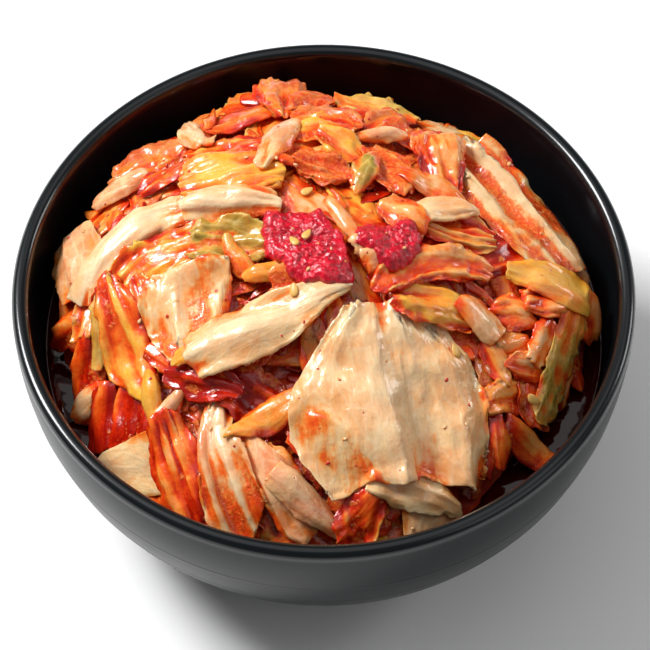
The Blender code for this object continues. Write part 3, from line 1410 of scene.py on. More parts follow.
        dress = self._dress(brink * min(self.width, self.length) / 2, t, flat, across, folds + ribs, z)
        route = np.stack([flat.ravel(), across.ravel()], -1) / 10 + seed * 0.37
        return points, closed_sheet_faces(rows, columns), np.tile(route, (2, 1)), np.tile(dress, (2, 1))

    def _grid(self, rows: int, columns: int) -> list[Array]:
        """Return s and t at each point of the sheet, crowded towards its edges."""
        even = np.meshgrid(np.linspace(-1, 1, rows), np.linspace(-1, 1, columns), indexing="ij")
        return [np.sin(part * self.CROWDING) / math.sin(self.CROWDING) for part in even]

    def _folds(self, flat: Array, across: Array, s: Array, t: Array, z: float) -> Array:
        """Fold, pleat and frill the sheet.

        Args:
            flat: How far along the piece each point lies.
            across: How far to the left of its middle.
            s: The points' share along it.
            t: The points' share across it.
            z: Where the piece's noise is read.

        Returns:
            How far each point stands out of the sheet.
        """
        body, fan = self.body, t * self.width / 2
        warp = 2.0 * NOISE.at(flat, across, z + 11, body.fold * 1.6)
        soft = NOISE.folds(flat * 0.7 + warp, across + warp, z, body.fold)
        crease = 1 - 2.4 * np.abs(NOISE.at(flat * 0.5 + warp, across - warp, z + 3, body.fold * 1.1))
        edge = np.maximum(np.abs(s), np.abs(t)) ** 4
        frills = NOISE.at(flat, across * 0.5, z + 5, 3.2) + 0.5 * NOISE.at(flat, across * 0.7, z + 6, 1.6)
        pleats = 0.4 - 1.5 * np.abs(NOISE.at(flat * 0.11, fan + warp * 0.5, z + 13, body.pleat_step))
        pleats = pleats + 0.5 * NOISE.at(flat * 0.16, fan + warp * 0.3, z + 14, body.pleat_step / 2.2)
        pucker = 0.4 - 1.6 * np.abs(NOISE.at(flat * 0.6 + warp, fan - warp, z + 17, 2.6))
        fine = 0.4 - 1.6 * np.abs(NOISE.at(flat * 0.8, fan + warp, z + 19, 1.5))
        swing = body.wave * np.sin(math.pi * self.WAVES * t + 0.8 * warp / 2) * (0.35 - 0.65 * s)
        held = np.clip((np.abs(across) / (np.abs(t) + 0.05)) / 4.0, 0.25, 1)
        return held * (
            body.crumple * (0.6 * soft + 0.4 * crease + 0.40 * pucker + 0.16 * fine)
            + 1.3 * body.pleat * pleats
            + body.ruffle * frills * edge
            + swing
        )

    @staticmethod
    def _soften(ground: Array) -> Array:
        """Smooth the ground that a loose sheet lies on, across its own grid.

        Args:
            ground: The ground's height under each of the sheet's points.

        Returns:
            The smoothed heights.
        """
        for _ in range(12):
            wide = np.pad(ground, 1, mode="edge")
            ground = (wide[:-2, 1:-1] + wide[2:, 1:-1] + wide[1:-1, :-2] + wide[1:-1, 2:]) / 4
        return ground

    @staticmethod
    def _normals(middle: Array) -> Array:
        """Return the sheet's unit normals."""
        normal = np.cross(np.gradient(middle, axis=0), np.gradient(middle, axis=1))
        return normal / (np.linalg.norm(normal, axis=-1, keepdims=True) + 1e-9)

    def _dress(self, brink: Array, t: Array, flat: Array, across: Array, out: Array, z: float) -> Array:
        """Stain and tint the piece.

        Args:
            brink: How far each point lies from the edge.
            t: The points' share across it.
            flat: How far along the piece each point lies.
            across: How far to the left of its middle.
            out: How far each point stands out of the sheet.
            z: Where the piece's noise is read.

        Returns:
            Stain, green, paleness and sauce at each point, from 0 to 1.
        """
        edge = np.exp(-brink / (1.2 + self.width / 16)) * min(1.0, 0.25 + self.width / 24)
        cloud = NOISE.folds(flat, across, z + 4.1, 9.0)
        stain = self.stain + self.RIM_STAIN * edge * (0.7 + 0.7 * cloud)
        # Darker in the fold troughs and paler on the crests: partly sauce in the creases, partly painted
        # shade and painted light.
        stain = stain - self.FOLD_STAIN_AND_SHADE * np.clip(out, -0.8, 0.8) + 0.16 * cloud
        green = self.green * np.clip(0.6 + 0.8 * cloud + 0.4 * edge, 0, 1)
        pale = self.pale * np.exp(-((t / 0.45) ** 2)) + 0.3 * self.pale * np.clip(out, 0, 1)
        sauce = self.sauce + 0.25 * cloud - 0.25 * out
        return np.clip(np.stack([part.ravel() for part in (stain, green, pale, sauce)], -1), 0, 1)


PALE, YELLOW, GREEN, STEM, SOAKED, UNDER = Kind
STRIP, LEAF, BLADE, FAN, SHIELD = Shape

# The pieces that can be told apart, placed one by one.  Each part of the heap lists them in the order
# in which they are laid: kind, body, middle, length, width, heading, outline where it isn't a
# leaf's, and what else sets the piece apart.
BACK_CUTS = (
    Cut(UNDER, FRILLY, -43, 36, 20, 12, 20, stain=0.5, sauce=0.4),
    Cut(STEM, STOUT, -50, 28, 14, 6, 15, STRIP, stain=0.05),
    Cut(UNDER, SHEET, -39, 28, 15, 6, 30, stain=0.7),
    Cut(YELLOW, SHEET, -24, 33, 20, 12, 5, stain=0.55),
    Cut(STEM, RIBBED, -32, 42, 14, 9, 110, BLADE, lift=3, stain=0.0),
    Cut(UNDER, STOUT, -21, 46, 18, 8, 20, STRIP, stain=0.45),
    Cut(SOAKED, FILM, -28, 47, 9, 3, 85, BLADE, lift=3, stain=0.6),
    Cut(UNDER, FRILLY, -11, 53, 17, 13, 100, FAN, lift=4, stain=0.45),
    Cut(UNDER, FRILLY, -3, 51, 13, 9, 30, lift=1, stain=1.0, sauce=0.9),
    Cut(GREEN, FRILLY, 13, 50, 22, 11, -15, green=0.6, rise=2, stain=0.3),
    Cut(UNDER, FILM, 9, 44, 10, 7, 20, stain=0.95),
    Cut(UNDER, FRILLY, 15, 43, 13, 8, 40, stain=0.4),
    Cut(UNDER, FRILLY, 20, 39, 12, 8, -30, stain=0.5, sauce=0.5),
    Cut(STEM, RIBBED, 14, 37, 13, 5, 8, STRIP, arch=1, stain=0.2),
    Cut(UNDER, FRILLY, 1, 42, 18, 10, -15, arch=1, stain=0.4, sauce=0.5),
    Cut(SOAKED, FRILLY, 26, 37, 13, 8, 60, stain=0.65),
)

TOP_CUTS = (
    Cut(SOAKED, SHEET, -5, 30, 16, 12, 30, stain=0.55, sauce=0.4),
    Cut(YELLOW, FRILLY, -4, 37, 24, 9, 15, bend=-70, arch=1.5, stain=0.3),
    Cut(STEM, RIBBED, -11, 31, 20, 7, 62, arch=1.5, stain=0.12),
    Cut(YELLOW, SHEET, 4, 32, 13, 9, -35, stain=0.35, sauce=0.3),
    Cut(SOAKED, FRILLY, 0, 24, 15, 10, -10, stain=0.6, sauce=0.9),
    Cut(SOAKED, SHEET, 16, 25, 17, 11, -60, bend=-50, arch=1, stain=0.6, sauce=0.8),
    Cut(GREEN, FRILLY, 10, 23, 13, 6, 70, green=0.9, stain=0.3),
    Cut(SOAKED, FRILLY, 29, 29, 19, 12, 100, FAN, lift=2, stain=0.5),
    Cut(STEM, SMOOTH, 26, 21, 17, 7, -20, stain=0.3),
    Cut(SOAKED, FILM, 32, 9, 19, 12, -5, stain=0.5),
    Cut(PALE, RIBBED, 28, 13, 20, 8, 22, bend=-35, arch=1, stain=0.12),
    Cut(SOAKED, SHEET, 19, 10, 14, 9, -40, stain=0.55, sauce=0.5),
    Cut(SOAKED, SHEET, -4, -8, 18, 9, 10, stain=0.5, sauce=0.6),
    Cut(STEM, STOUT, 5, 7, 17, 4, -58, STRIP, rise=2, stain=0.3),
    Cut(STEM, CHUNK, 9, 0, 6, 5, 20, rise=2, stain=0.3),
    Cut(STEM, CHUNK, 12, -4, 6, 6, 60, rise=2, stain=0.25),
)

RIGHT_CUTS = (
    Cut(SOAKED, CHUNK, 64, -3, 14, 6, 78, stain=0.4),
    Cut(SOAKED, STOUT, 49, -36, 14, 8, -20, STRIP, stain=0.45),
    Cut(UNDER, FILM, 41, -38, 13, 5, -85, stain=0.8),
    Cut(SOAKED, FRILLY, 43, -28, 14, 9, 40, stain=0.6, sauce=0.4),
    Cut(SOAKED, FRILLY, 50, -26, 12, 8, 100, stain=0.6, sauce=0.4),
    Cut(SOAKED, CHUNK, 45, -17, 12, 9, 30, stain=0.65, sauce=0.5),
    Cut(SOAKED, FILM, 41, -21, 10, 7, -60, stain=0.5),
    Cut(STEM, FRILLY, 48, -21, 9, 6, 10, stain=0.6),
    Cut(SOAKED, FILM, 57, -8, 10, 6, 120, stain=0.5),
    Cut(SOAKED, CHUNK, 45, -9, 10, 9, 0, stain=0.6, sauce=0.4),
    Cut(STEM, CHUNK, 52, -14, 12, 6, 70, stain=0.6),
    Cut(STEM, CHUNK, 53, -4, 12, 10, 25, stain=0.65),
    Cut(GREEN, FRILLY, 57, -16, 33, 6, 70, STRIP, bend=15, green=0.9, stain=0.3, pale=0.1),
    Cut(PALE, BROAD, 46, 22, 42, 20, -52, STRIP, rise=1.6, stain=0.34, sauce=0.5, pale=0.3),
    Cut(YELLOW, SMOOTH, 54, 0, 21, 11, -4, FAN, rise=2.6, tilt=8, stain=0.12, pale=0.5),
)

LEFT_CUTS = (
    Cut(SOAKED, CHUNK, -61, -7, 12, 7, -20, stain=0.6),
    Cut(UNDER, CHUNK, -57, -17, 14, 8, 85, stain=0.9, sauce=0.3),
    Cut(STEM, CHUNK, -55, -24, 12, 6, 15, stain=0.4),
    Cut(STEM, RIBBED, -53, -29, 14, 7, 85, STRIP, stain=0.8),
    Cut(STEM, RIBBED, -47, -31, 15, 7, 80, STRIP, stain=0.75),
    Cut(STEM, RIBBED, -41, -34, 12, 6, 75, STRIP, stain=0.6),
    Cut(STEM, SMOOTH, -60, 10, 21, 13, 100, STRIP, rise=1.5, stain=0.08),
    Cut(SOAKED, SHEET, -53, 2, 30, 7, 238, STRIP, bend=40, stain=0.35),
    Cut(PALE, RIBBED, -47, 10, 38, 11, 215, STRIP, bend=75, arch=1, rise=1.6, stain=0.02, pale=0.8),
    Cut(YELLOW, RIBBED, -22, 23, 26, 19, 5, STRIP, rise=2.2, arch=1, stain=0.15),
    Cut(PALE, RIBBED, -22, 13, 24, 8, -4, STRIP, arch=1, rise=2, stain=0.12, pale=0.7),
    Cut(YELLOW, SHEET, -41, 0, 32, 14, 203, STRIP, bend=50, arch=2, rise=2, stain=0.3, pale=0),
    Cut(GREEN, FRILLY, -22, 3, 21, 14, 0, rise=1.8, green=0.7, stain=0.05),
    Cut(GREEN, RIBBED, -20, -3, 16, 5, -50, bend=60, rise=2, green=0.5, stain=0.1),
    Cut(YELLOW, RIBBED, -12, -6, 14, 5, 18, bend=50, rise=2, stain=0.15),
    Cut(GREEN, FRILLY, -53, -9, 20, 5, -97, STRIP, rise=1.6, green=0.5, stain=0.3),
    Cut(YELLOW, FRILLY, -42, -12, 21, 10, -72, rise=1.6, stain=0.4),
    Cut(YELLOW, RIBBED, -47, -16, 34, 11, -68, bend=12, rise=2.2, stain=0.36),
    Cut(YELLOW, RIBBED, -40, -32, 15, 5, -80, BLADE, rise=2, stain=0.15),
    Cut(STEM, STOUT, -36, -33, 11, 3, 50, STRIP, rise=1.5, stain=0.15),
    Cut(YELLOW, RIBBED, -34, -24, 20, 7, -38, BLADE, rise=1.2, stain=0.35),
)

FRONT_CUTS = (
    Cut(PALE, SMOOTH, -45, -43, 22, 12, 155, BLADE, rise=1, stain=0.02),
    Cut(SOAKED, RIBBED, -33, -48, 27, 12, -68, STRIP, stain=0.72, sauce=0.3),
    Cut(SOAKED, SHEET, -14, -49, 18, 12, -20, stain=0.5, sauce=0.4),
    Cut(STEM, RIBBED, -12, -52, 28, 10, -52, FAN, bend=25, rise=1.6, stain=0.2),
    Cut(STEM, RIBBED, -24, -48, 32, 13, -74, FAN, bend=45, rise=2, arch=1, stain=0.12, pale=0.7),
    Cut(STEM, STOUT, -4, -57, 20, 8, -32, BLADE, rise=1.6, stain=0.15),
    Cut(UNDER, SHEET, 6, -40, 24, 14, -35, stain=0.85),
    Cut(STEM, SMOOTH, 3, -47, 27, 11, -38, bend=-25, rise=1.4, stain=0.3),
    Cut(SOAKED, SHEET, 9, -59, 14, 9, 40, stain=0.5),
    Cut(STEM, SMOOTH, 24, -57, 15, 13, 70, FAN, rise=2, lift=1, stain=0.2),
    Cut(UNDER, FILM, -18, -32, 20, 12, -20, rise=-2, stain=1.0),
    Cut(SOAKED, SHEET, -28, -29, 20, 9, -20, stain=0.9),
    Cut(SOAKED, FILM, -26, -22, 24, 8, -10, stain=0.65),
    Cut(YELLOW, SMOOTH, -14, -39, 21, 9, 208, BLADE, rise=2, stain=0.25),
    Cut(PALE, POCKET, -32, -13, 22, 24, 97, FAN, rise=2.4, arch=2, stain=0.1, pale=0.2),
    Cut(YELLOW, RIBBED, -22, -22, 28, 6, 14, rise=1.6, tilt=-15, stain=0.2),
    Cut(PALE, SMOOTH, -13, -18, 42, 16, 22, BLADE, rise=2.6, tilt=-17, stain=0.1, pale=0.6),
    Cut(PALE, SHEET, 21, -54, 23, 7, -5, rise=1.5, stain=0.15),
    Cut(PALE, BROAD, 18, -33, 40, 48, 101, SHIELD, rise=2.4, skew=0.12, stain=-0.06, sauce=-0.2, pale=0.4),
    Cut(YELLOW, FILM, 27, -12, 24, 13, 0, bend=-25, rise=3.8, tilt=-18, stain=0.3),
    Cut(STEM, SMOOTH, 37, -13, 12, 8, -40, STRIP, rise=2.2, stain=0.35),
    Cut(SOAKED, FRILLY, 25, -2, 32, 10, 20, bend=-70, rise=2.2, arch=1, tilt=-10, stain=0.4, pale=0.8),
)

LEADING_CUTS = BACK_CUTS + RIGHT_CUTS + LEFT_CUTS + TOP_CUTS + FRONT_CUTS


@dataclass(frozen=True)
class Hollow:
    """A place where the heap lies deeper."""

    x: float
    y: float
    size: float
    depth: float


HOLLOWS = (
    Hollow(-13, -30, 10, 11),
    Hollow(-41, -2, 5, 3),
    Hollow(48, -24, 7, 3),
    Hollow(-60, -16, 8, 6),
    Hollow(-52, -32, 7, 4),
    Hollow(30, -52, 9, 4),
    Hollow(48, -42, 9, 7),
    Hollow(0, -54, 8, 6),
    Hollow(-20, -35, 5, 3),
)


@dataclass
class Fillers:
    """Lesser pieces that fill the heap up to its form, chosen by a seeded draw.

    Attributes:
        mound: The form.
        kinds: The kinds to choose from, as often as each is named.
        bodies: The bodies to choose from.
        stain: Least and greatest stain.
        reach: How far from the axis they go.
        long: Least and greatest length.
        broad: Least and greatest width.
        spacing: Distance between a sheet's points.
        rim_share: Share of the way to the outline from which on nothing is filled.
        turned_share: Share from which on pieces lie along the wall.
        tries: How many random places each piece is chosen from.
        wander: How much the headings stray, in degrees.
    """

    mound: Mound
    kinds: tuple[Kind, ...] = (UNDER, SOAKED, SOAKED, UNDER, STEM, YELLOW)
    bodies: tuple[Body, ...] = (SHEET, SHEET, FILM, FRILLY, RIBBED)
    stain: tuple[float, float] = (0.25, 0.8)
    reach: float = 65.0
    long: tuple[float, float] = (15, 29)
    broad: tuple[float, float] = (4, 13)
    spacing: float = 1.0
    rim_share: float = 0.94
    turned_share: float = 0.72
    tries: int = 24
    wander: float = 35

    def room(self, heap: HeightField, x: Array, y: Array, low: float) -> Array:
        """Measure how far the heap lies below where it should come to.

        Args:
            heap: What lies there so far.
            x: The points' first coordinate.
            y: The points' second coordinate.
            low: How far below the mound's form it should come to.

        Returns:
            The room above each point.
        """
        wanted = np.where(self.mound.share(x, y) < self.rim_share, self.mound.height(x, y) - low, 0)
        for hollow in HOLLOWS:
            apart = ((x - hollow.x) ** 2 + (y - hollow.y) ** 2) / hollow.size**2
            wanted = wanted - hollow.depth * np.exp(-apart)
        return wanted - heap.at(x, y)

    def draw(self, heap: HeightField, rng: np.random.Generator, low: float) -> Cut | None:
        """Choose the next piece.

        Args:
            heap: What lies there so far.
            rng: The source of chance.
            low: How far below the mound's form the pieces stop.

        Returns:
            A piece for the lowest of a few random places, or None if the heap is full there.
        """
        bearing = rng.uniform(0, math.tau, self.tries)
        radius = self.reach * np.sqrt(rng.uniform(0, 1, self.tries))
        x, y = radius * np.cos(bearing), radius * np.sin(bearing)
        room = self.room(heap, x, y, low)
        best = int(np.argmax(room))
        if room[best] < 0:
            return None
        heading = math.degrees(bearing[best]) + rng.normal(0, self.wander)
        length = rng.uniform(*self.long)
        if self.mound.share(x[best], y[best]) > self.turned_share:
            heading, length = heading + 90, length * 0.7
        return Cut(
            self.kinds[int(rng.integers(len(self.kinds)))],
            self.bodies[int(rng.integers(len(self.bodies)))],
            float(x[best]),
            float(y[best]),
            length,
            float(rng.uniform(*self.broad)),
            heading,
            (LEAF, STRIP, BLADE, FAN)[int(rng.integers(4))],
            bend=float(rng.uniform(-60, 60)),
            rise=0.0,
            arch=float(rng.uniform(-0.4, 0.8)),
            tilt=float(rng.uniform(-18, 18)),
            stain=float(rng.uniform(*self.stain)),
            sauce=float(rng.uniform(0.0, 0.5)),
            pale=float(rng.uniform(0, 0.3)),
        )


@dataclass
class Heap:
    """The whole heap of kimchi: its core and every cut piece laid on it.

    Attributes:
        bowl: The bowl that it lies in.
        brine: The brine round its foot.
        core_depth: How far the core's top lies below the heap's form.
        core_reach: How far the core goes from the axis.
        turns: How many lines of points stand round the core.
        rings: How many points of a line lie on its top.
        leading_spacing: Distance between the points of a listed piece.
    """

    bowl: Bowl
    brine: Brine
    core_depth: float = 11.0
    core_reach: float = 64.0
    turns: int = 260
    rings: int = 110
    leading_spacing: float = 0.5

    MOST_MISSES = 40  # how often a draw may find no room before the filling ends
    PALE_THIRST = 0.3  # how much of the gathering sauce, and of the painted shade in hollows, a pale leaf takes
    HOLLOW_STAIN_AND_SHADE = (0.55, 0.15)  # stain taken in the hollows and lost on the crests, as gathered sauce and as painted shade and painted light
    HOLLOW_PULP_AND_SHADE = (0.35, 0.10)  # pulp, likewise, also partly painted shade

    def __post_init__(self) -> None:
        """Set out the mound and the field that pieces are laid on."""
        self.mound = Mound(rim=self.bowl.height)
        self.field = HeightField(self.brine.level)
        self.batches = {kind: MeshBatch() for kind in Kind}
        self.laid = 0

    def core_height(self, x: Array, y: Array) -> Array:
        """Return the crumpled top of the core."""
        crumple = 1.6 * NOISE.folds(x, y, 3.0, 7.0) + 0.5 * NOISE.folds(x, y, 8.0, 2.4)
        return self.mound.height(x, y) - self.core_depth + crumple

    def build_core(self) -> None:
        """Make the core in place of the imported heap, and raise the field to it."""
        angle = (np.arange(self.turns) * math.tau / self.turns)[:, None]
        radius = self.core_reach * np.linspace(0.004, 1, self.rings) ** 0.8
        top = self.core_height(radius * np.cos(angle), radius * np.sin(angle))
        level, floor = self.brine.level, self.bowl.floor + 1.0
        under = np.array([(62, level - 8), (56, 24), (48, 15), (36, floor), (20, floor), (0.25, floor)])
        reach = np.concatenate([radius, under[:, 0]])
        z = np.concatenate([np.maximum(top, level - 4.0), np.tile(under[:, 1], (self.turns, 1))], 1)
        points = np.stack([reach * np.cos(angle), reach * np.sin(angle), z], -1).reshape(-1, 3)
        faces = ring_faces(self.turns, len(reach), closed=True)
        finish = MashFinish("soaked_core", tint(188, 30, 10), tint(230, 78, 24), 2.0)
        item = write_mesh("kimchi_core", self.bowl.keep_inside(points), faces, finish.build())
        merge_close(item, 0.3)
        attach(item, "root")
        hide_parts("kimchi_heap")
        inside = np.hypot(self.field.x, self.field.y) < self.core_reach
        core = self.core_height(self.field.x, self.field.y)
        self.field.z = np.where(inside, np.maximum(self.field.z, core), self.field.z)
        LOG.info("core: %d faces", len(item.data.polygons))

    def soak(self) -> None:
        """Let sauce gather on what lies low between its neighbours and leave the crests cleaner, which also
        paints shade into the hollows and light onto the crests.
        """
        level = HeightField.blur(self.field.z, 3.0 / HeightField.STEP)
        for kind, batch in self.batches.items():
            thirst = self.PALE_THIRST if kind is PALE else 1.0
            for points, dress in zip(batch.points, batch.dresses):
                i, j = self.field.cells(points[:, 0]), self.field.cells(points[:, 1])
                depth = HeightField.sample(level, i, j) - points[:, 2]
                # Lower than the blurred heap means more stain and pulp, partly painted shade; higher means
                # less, partly painted light.
                low, high = np.clip((depth - 0.8) / 3.0, 0, 1), np.clip(-depth / 2.0, 0, 1)
                for channel, (gain, loss) in ((0, self.HOLLOW_STAIN_AND_SHADE), (3, self.HOLLOW_PULP_AND_SHADE)):
                    soaked = dress[:, channel] + gain * thirst * low - loss * high
                    dress[:, channel] = np.clip(soaked, 0, 1)

    def lay(self, cut: Cut, spacing: float, loose: bool) -> None:
        """Lay one piece on the heap and keep it in its kind's batch.

        Args:
            cut: The piece.
            spacing: Distance between its points.
            loose: Whether it rests on what lies below instead of at its own rise.
        """
        self.laid += 1
        placed = cut.place(self.field, self.mound, self.bowl, spacing, self.laid, loose)
        self.batches[cut.kind].add(*placed)

    def fill(self, fillers: Fillers, low: float, seed: int, most: int) -> int:
        """Lay fillers until the heap has no room for more.

        Args:
            fillers: What they are chosen from.
            low: How far below the heap's form they stop.
            seed: Seed of the draw.
            most: The most that are laid.

        Returns:
            How many were laid.
        """
        rng = np.random.default_rng(seed)
        laid = misses = 0
        while laid < most and misses < self.MOST_MISSES:
            cut = fillers.draw(self.field, rng, low)
            if cut is None:
                misses += 1
                continue
            self.lay(cut, fillers.spacing, True)
            laid += 1
        return laid

    def build(self) -> None:
        """Lay every piece and write one mesh for each kind."""
        self.build_core()
        deep = Fillers(self.mound, kinds=(UNDER, UNDER, SOAKED), stain=(0.4, 0.9), spacing=1.3)
        LOG.info("deep fillers: %d", self.fill(deep, 7.5, 21, 200))
        LOG.info("upper fillers: %d", self.fill(Fillers(self.mound), 4.0, 22, 320))
        shreds = Fillers(
            self.mound,
            kinds=(UNDER, SOAKED),
            bodies=(FRILLY, FILM),
            stain=(0.5, 0.9),
            long=(5, 12),
            broad=(1.2, 2.6),
            spacing=0.7,
        )
        LOG.info("shreds: %d", self.fill(shreds, 3.0, 23, 130))
        for cut in LEADING_CUTS:
            self.lay(cut, self.leading_spacing, False)
        # Sauce and painted shade gather in the hollows between pieces, and the crests are painted lighter.
        self.soak()
        for kind, batch in self.batches.items():
            item = batch.write("cabbage_" + kind.value, FINISHES[kind].build())
            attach(item, "root")
            LOG.info("%s: %d faces", item.name, len(item.data.polygons))


# --------------------------------------------------------------------------- chilli paste


@dataclass
class Paste:
    """A rough, wet smear of chilli paste that lies on the heap.

    Attributes:
        node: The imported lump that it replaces.
        middle: Where its middle lies.
        reaches: How far it reaches from its middle, at even bearings from +X round to the left.
        thick: How high it stands in the middle.
        heap: What it lies on.
        ragged: How uneven its outline is.
        rings: How many points lie from its middle to its edge.
        turns: How many lines of points it has round its middle.
    """

    node: str
    middle: tuple[float, float]
    reaches: tuple[float, ...]
    thick: float
    heap: Heap
    ragged: float = 0.16
    rings: int = 60
    turns: int = 190

    def reach(self, angle: Array) -> Array:
        """Run the outline smoothly through the reaches.

        Args:
            angle: Angles from +X, in radians.

        Returns:
            How far the outline lies from the middle.
        """
        places = np.mod(angle, math.tau) / math.tau * len(self.reaches)
        first = np.floor(places).astype(int)
        share = (1 - np.cos((places - first) * math.pi)) / 2
        reaches = np.array(self.reaches)
        count = len(reaches)
        return reaches[first % count] * (1 - share) + reaches[(first + 1) % count] * share

    def build(self) -> None:
        """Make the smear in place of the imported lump."""
        share = np.linspace(0, 1, self.rings)[None, :]
        angle = (np.arange(self.turns) * math.tau / self.turns - math.pi)[:, None]
        uneven = 1 + self.ragged * NOISE.folds(4 * np.cos(angle), 4 * np.sin(angle), 3.0, 1.3)
        radius = share * self.reach(angle) * uneven
        x = self.middle[0] + radius * np.cos(angle)
        y = self.middle[1] + radius * np.sin(angle)
        lying = self.heap.field.drape(x, y, 0.9, 2.2)
        lumps = 0.9 * NOISE.folds(x, y, 60.0, 5.0) + 0.8 * NOISE.folds(x, y, 64.0, 2.0)
        grain = 0.38 * NOISE.folds(x, y, 70.0, 0.9)
        dome = np.sqrt(np.clip(1 - share**2.4, 0, 1))
        over = dome * (self.thick + lumps) + np.sqrt(np.clip(1 - share**6, 0, 1)) * grain
        top = np.stack([x, y, lying + 0.3 + np.maximum(over, 0.15)], -1)
        low = np.stack([x, y, lying - 1.2 * dome - 0.2], -1)
        points = np.concatenate([top, low[:, ::-1]], 1).reshape(-1, 3)
        faces = ring_faces(self.turns, 2 * self.rings, closed=False)
        finish = MashFinish(self.node + "_paste", tint(166, 0, 26), tint(236, 10, 48), 0.9, 0.2)
        item = write_mesh(self.node + "_smear", points, faces, finish.build())
        merge_close(item, 0.001)
        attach(item, "root")
        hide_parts(self.node)
        self.heap.field.raise_to(points)
        LOG.info("%s: %d faces", item.name, len(item.data.polygons))


# --------------------------------------------------------------------------- what is scattered


@dataclass
class Scatter:
    """Small bits strewn over the heap by Geometry Nodes.

    Attributes:
        name: The piece's name.
        finish: Its material.
        slot: The record's slot; it is not used.
        density: How many bits lie on a square metre.
        size: Least and greatest radius, in millimetres.
        squash: The bits' proportions.
        seed: Seed of the draw.
        rough: How uneven the bits are, in millimetres.
    """

    name: str
    finish: bpy.types.Material
    slot: str
    density: float
    size: tuple[float, float]
    squash: Point
    seed: int
    rough: float

    INPUTS = {
        "Geometry": "Geometry",
        "Density": "Float",
        "Smallest": "Float",
        "Largest": "Float",
        "Roughness": "Float",
        "Squash": "Vector",
        "Seed": "Int",
        "Material": "Material",
    }
    LUMPS = 900.0  # how many lumps a metre the bits' unevenness has
    LEAN = 0.5  # how far the bits lean over, in radians

    def tree(self) -> bpy.types.NodeTree:
        """Build the node tree: points on the surface, a bit on each, made real and roughened.

        Returns:
            The tree.
        """
        tree = bpy.data.node_groups.new(self.name + "_strewn", "GeometryNodeTree")
        for label, kind in self.INPUTS.items():
            tree.interface.new_socket(label, in_out="INPUT", socket_type="NodeSocket" + kind)
        tree.interface.new_socket("Geometry", in_out="OUTPUT", socket_type="NodeSocketGeometry")
        add = partial(add_node, tree)
        given = add("NodeGroupInput", {}).outputs
        where = {"Mesh": given["Geometry"], "Density": given["Density"], "Seed": given["Seed"]}
        spots = add("GeometryNodeDistributePointsOnFaces", where, distribute_method="RANDOM")
        bit = add("GeometryNodeMeshIcoSphere", {"Radius": 1.0, "Subdivisions": 2})
        flat = add("GeometryNodeTransform", {"Geometry": bit.outputs["Mesh"], "Scale": given["Squash"]})
        radii = {"Seed": given["Seed"], 2: given["Smallest"], 3: given["Largest"]}
        size = add("FunctionNodeRandomValue", radii, data_type="FLOAT")
        lean = {"Seed": given["Seed"], 0: (-self.LEAN, -self.LEAN, 0.0), 1: (self.LEAN, self.LEAN, math.tau)}
        spin = add("FunctionNodeRandomValue", lean, data_type="FLOAT_VECTOR")
        spun = add("FunctionNodeEulerToRotation", {0: spin.outputs[0]})
        turned = {"Rotation": spots.outputs["Rotation"], "Rotate By": spun.outputs[0]}
        turn = add("FunctionNodeRotateRotation", turned, rotation_space="LOCAL")
        strewn = add(
            "GeometryNodeInstanceOnPoints",
            {
                "Points": spots.outputs["Points"],
                "Instance": flat.outputs["Geometry"],
                "Rotation": turn.outputs[0],
                "Scale": size.outputs[1],
            },
        )
        real = add("GeometryNodeRealizeInstances", {"Geometry": strewn.outputs["Instances"]})
        lumps = add("ShaderNodeTexNoise", {"Scale": self.LUMPS, "Detail": 1.0}, noise_dimensions="3D")
        middle = {0: lumps.outputs["Color"], 1: (MID, MID, MID)}
        centered = add("ShaderNodeVectorMath", middle, operation="SUBTRACT")
        amount = {0: centered.outputs[0], "Scale": given["Roughness"]}
        scaled = add("ShaderNodeVectorMath", amount, operation="SCALE")
        moved = {"Geometry": real.outputs["Geometry"], "Offset": scaled.outputs[0]}
        rough = add("GeometryNodeSetPosition", moved)
        smooth = add("GeometryNodeSetShadeSmooth", {"Geometry": rough.outputs["Geometry"]})
        dressed = add(
            "GeometryNodeSetMaterial", {"Geometry": smooth.outputs[0], "Material": given["Material"]}
        )
        add("NodeGroupOutput", {0: dressed.outputs[0]})
        return tree

    def build(self, ground: bpy.types.Object) -> None:
        """Strew the bits over the ground's faces and make them a plain mesh.

        Args:
            ground: The surface that they lie on.
        """
        tree = self.tree()
        modifier = ground.modifiers.new("strewn", "NODES")
        modifier.node_group = tree
        wanted = {
            "Density": self.density,
            "Smallest": self.size[0] * MM,
            "Largest": self.size[1] * MM,
            "Roughness": self.rough * MM,
            "Squash": self.squash,
            "Seed": self.seed,
            "Material": self.finish,
        }
        for socket in tree.interface.items_tree:
            if socket.in_out == "INPUT" and socket.name in wanted:
                modifier[socket.identifier] = wanted[socket.name]
        solved = ground.evaluated_get(bpy.context.evaluated_depsgraph_get())
        mesh = bpy.data.meshes.new_from_object(solved)
        ground.modifiers.remove(modifier)
        mesh.name = self.name
        item = put_in_scene(self.name, mesh)
        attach(item, "root")
        LOG.info("%s: %d faces", self.name, len(mesh.polygons))


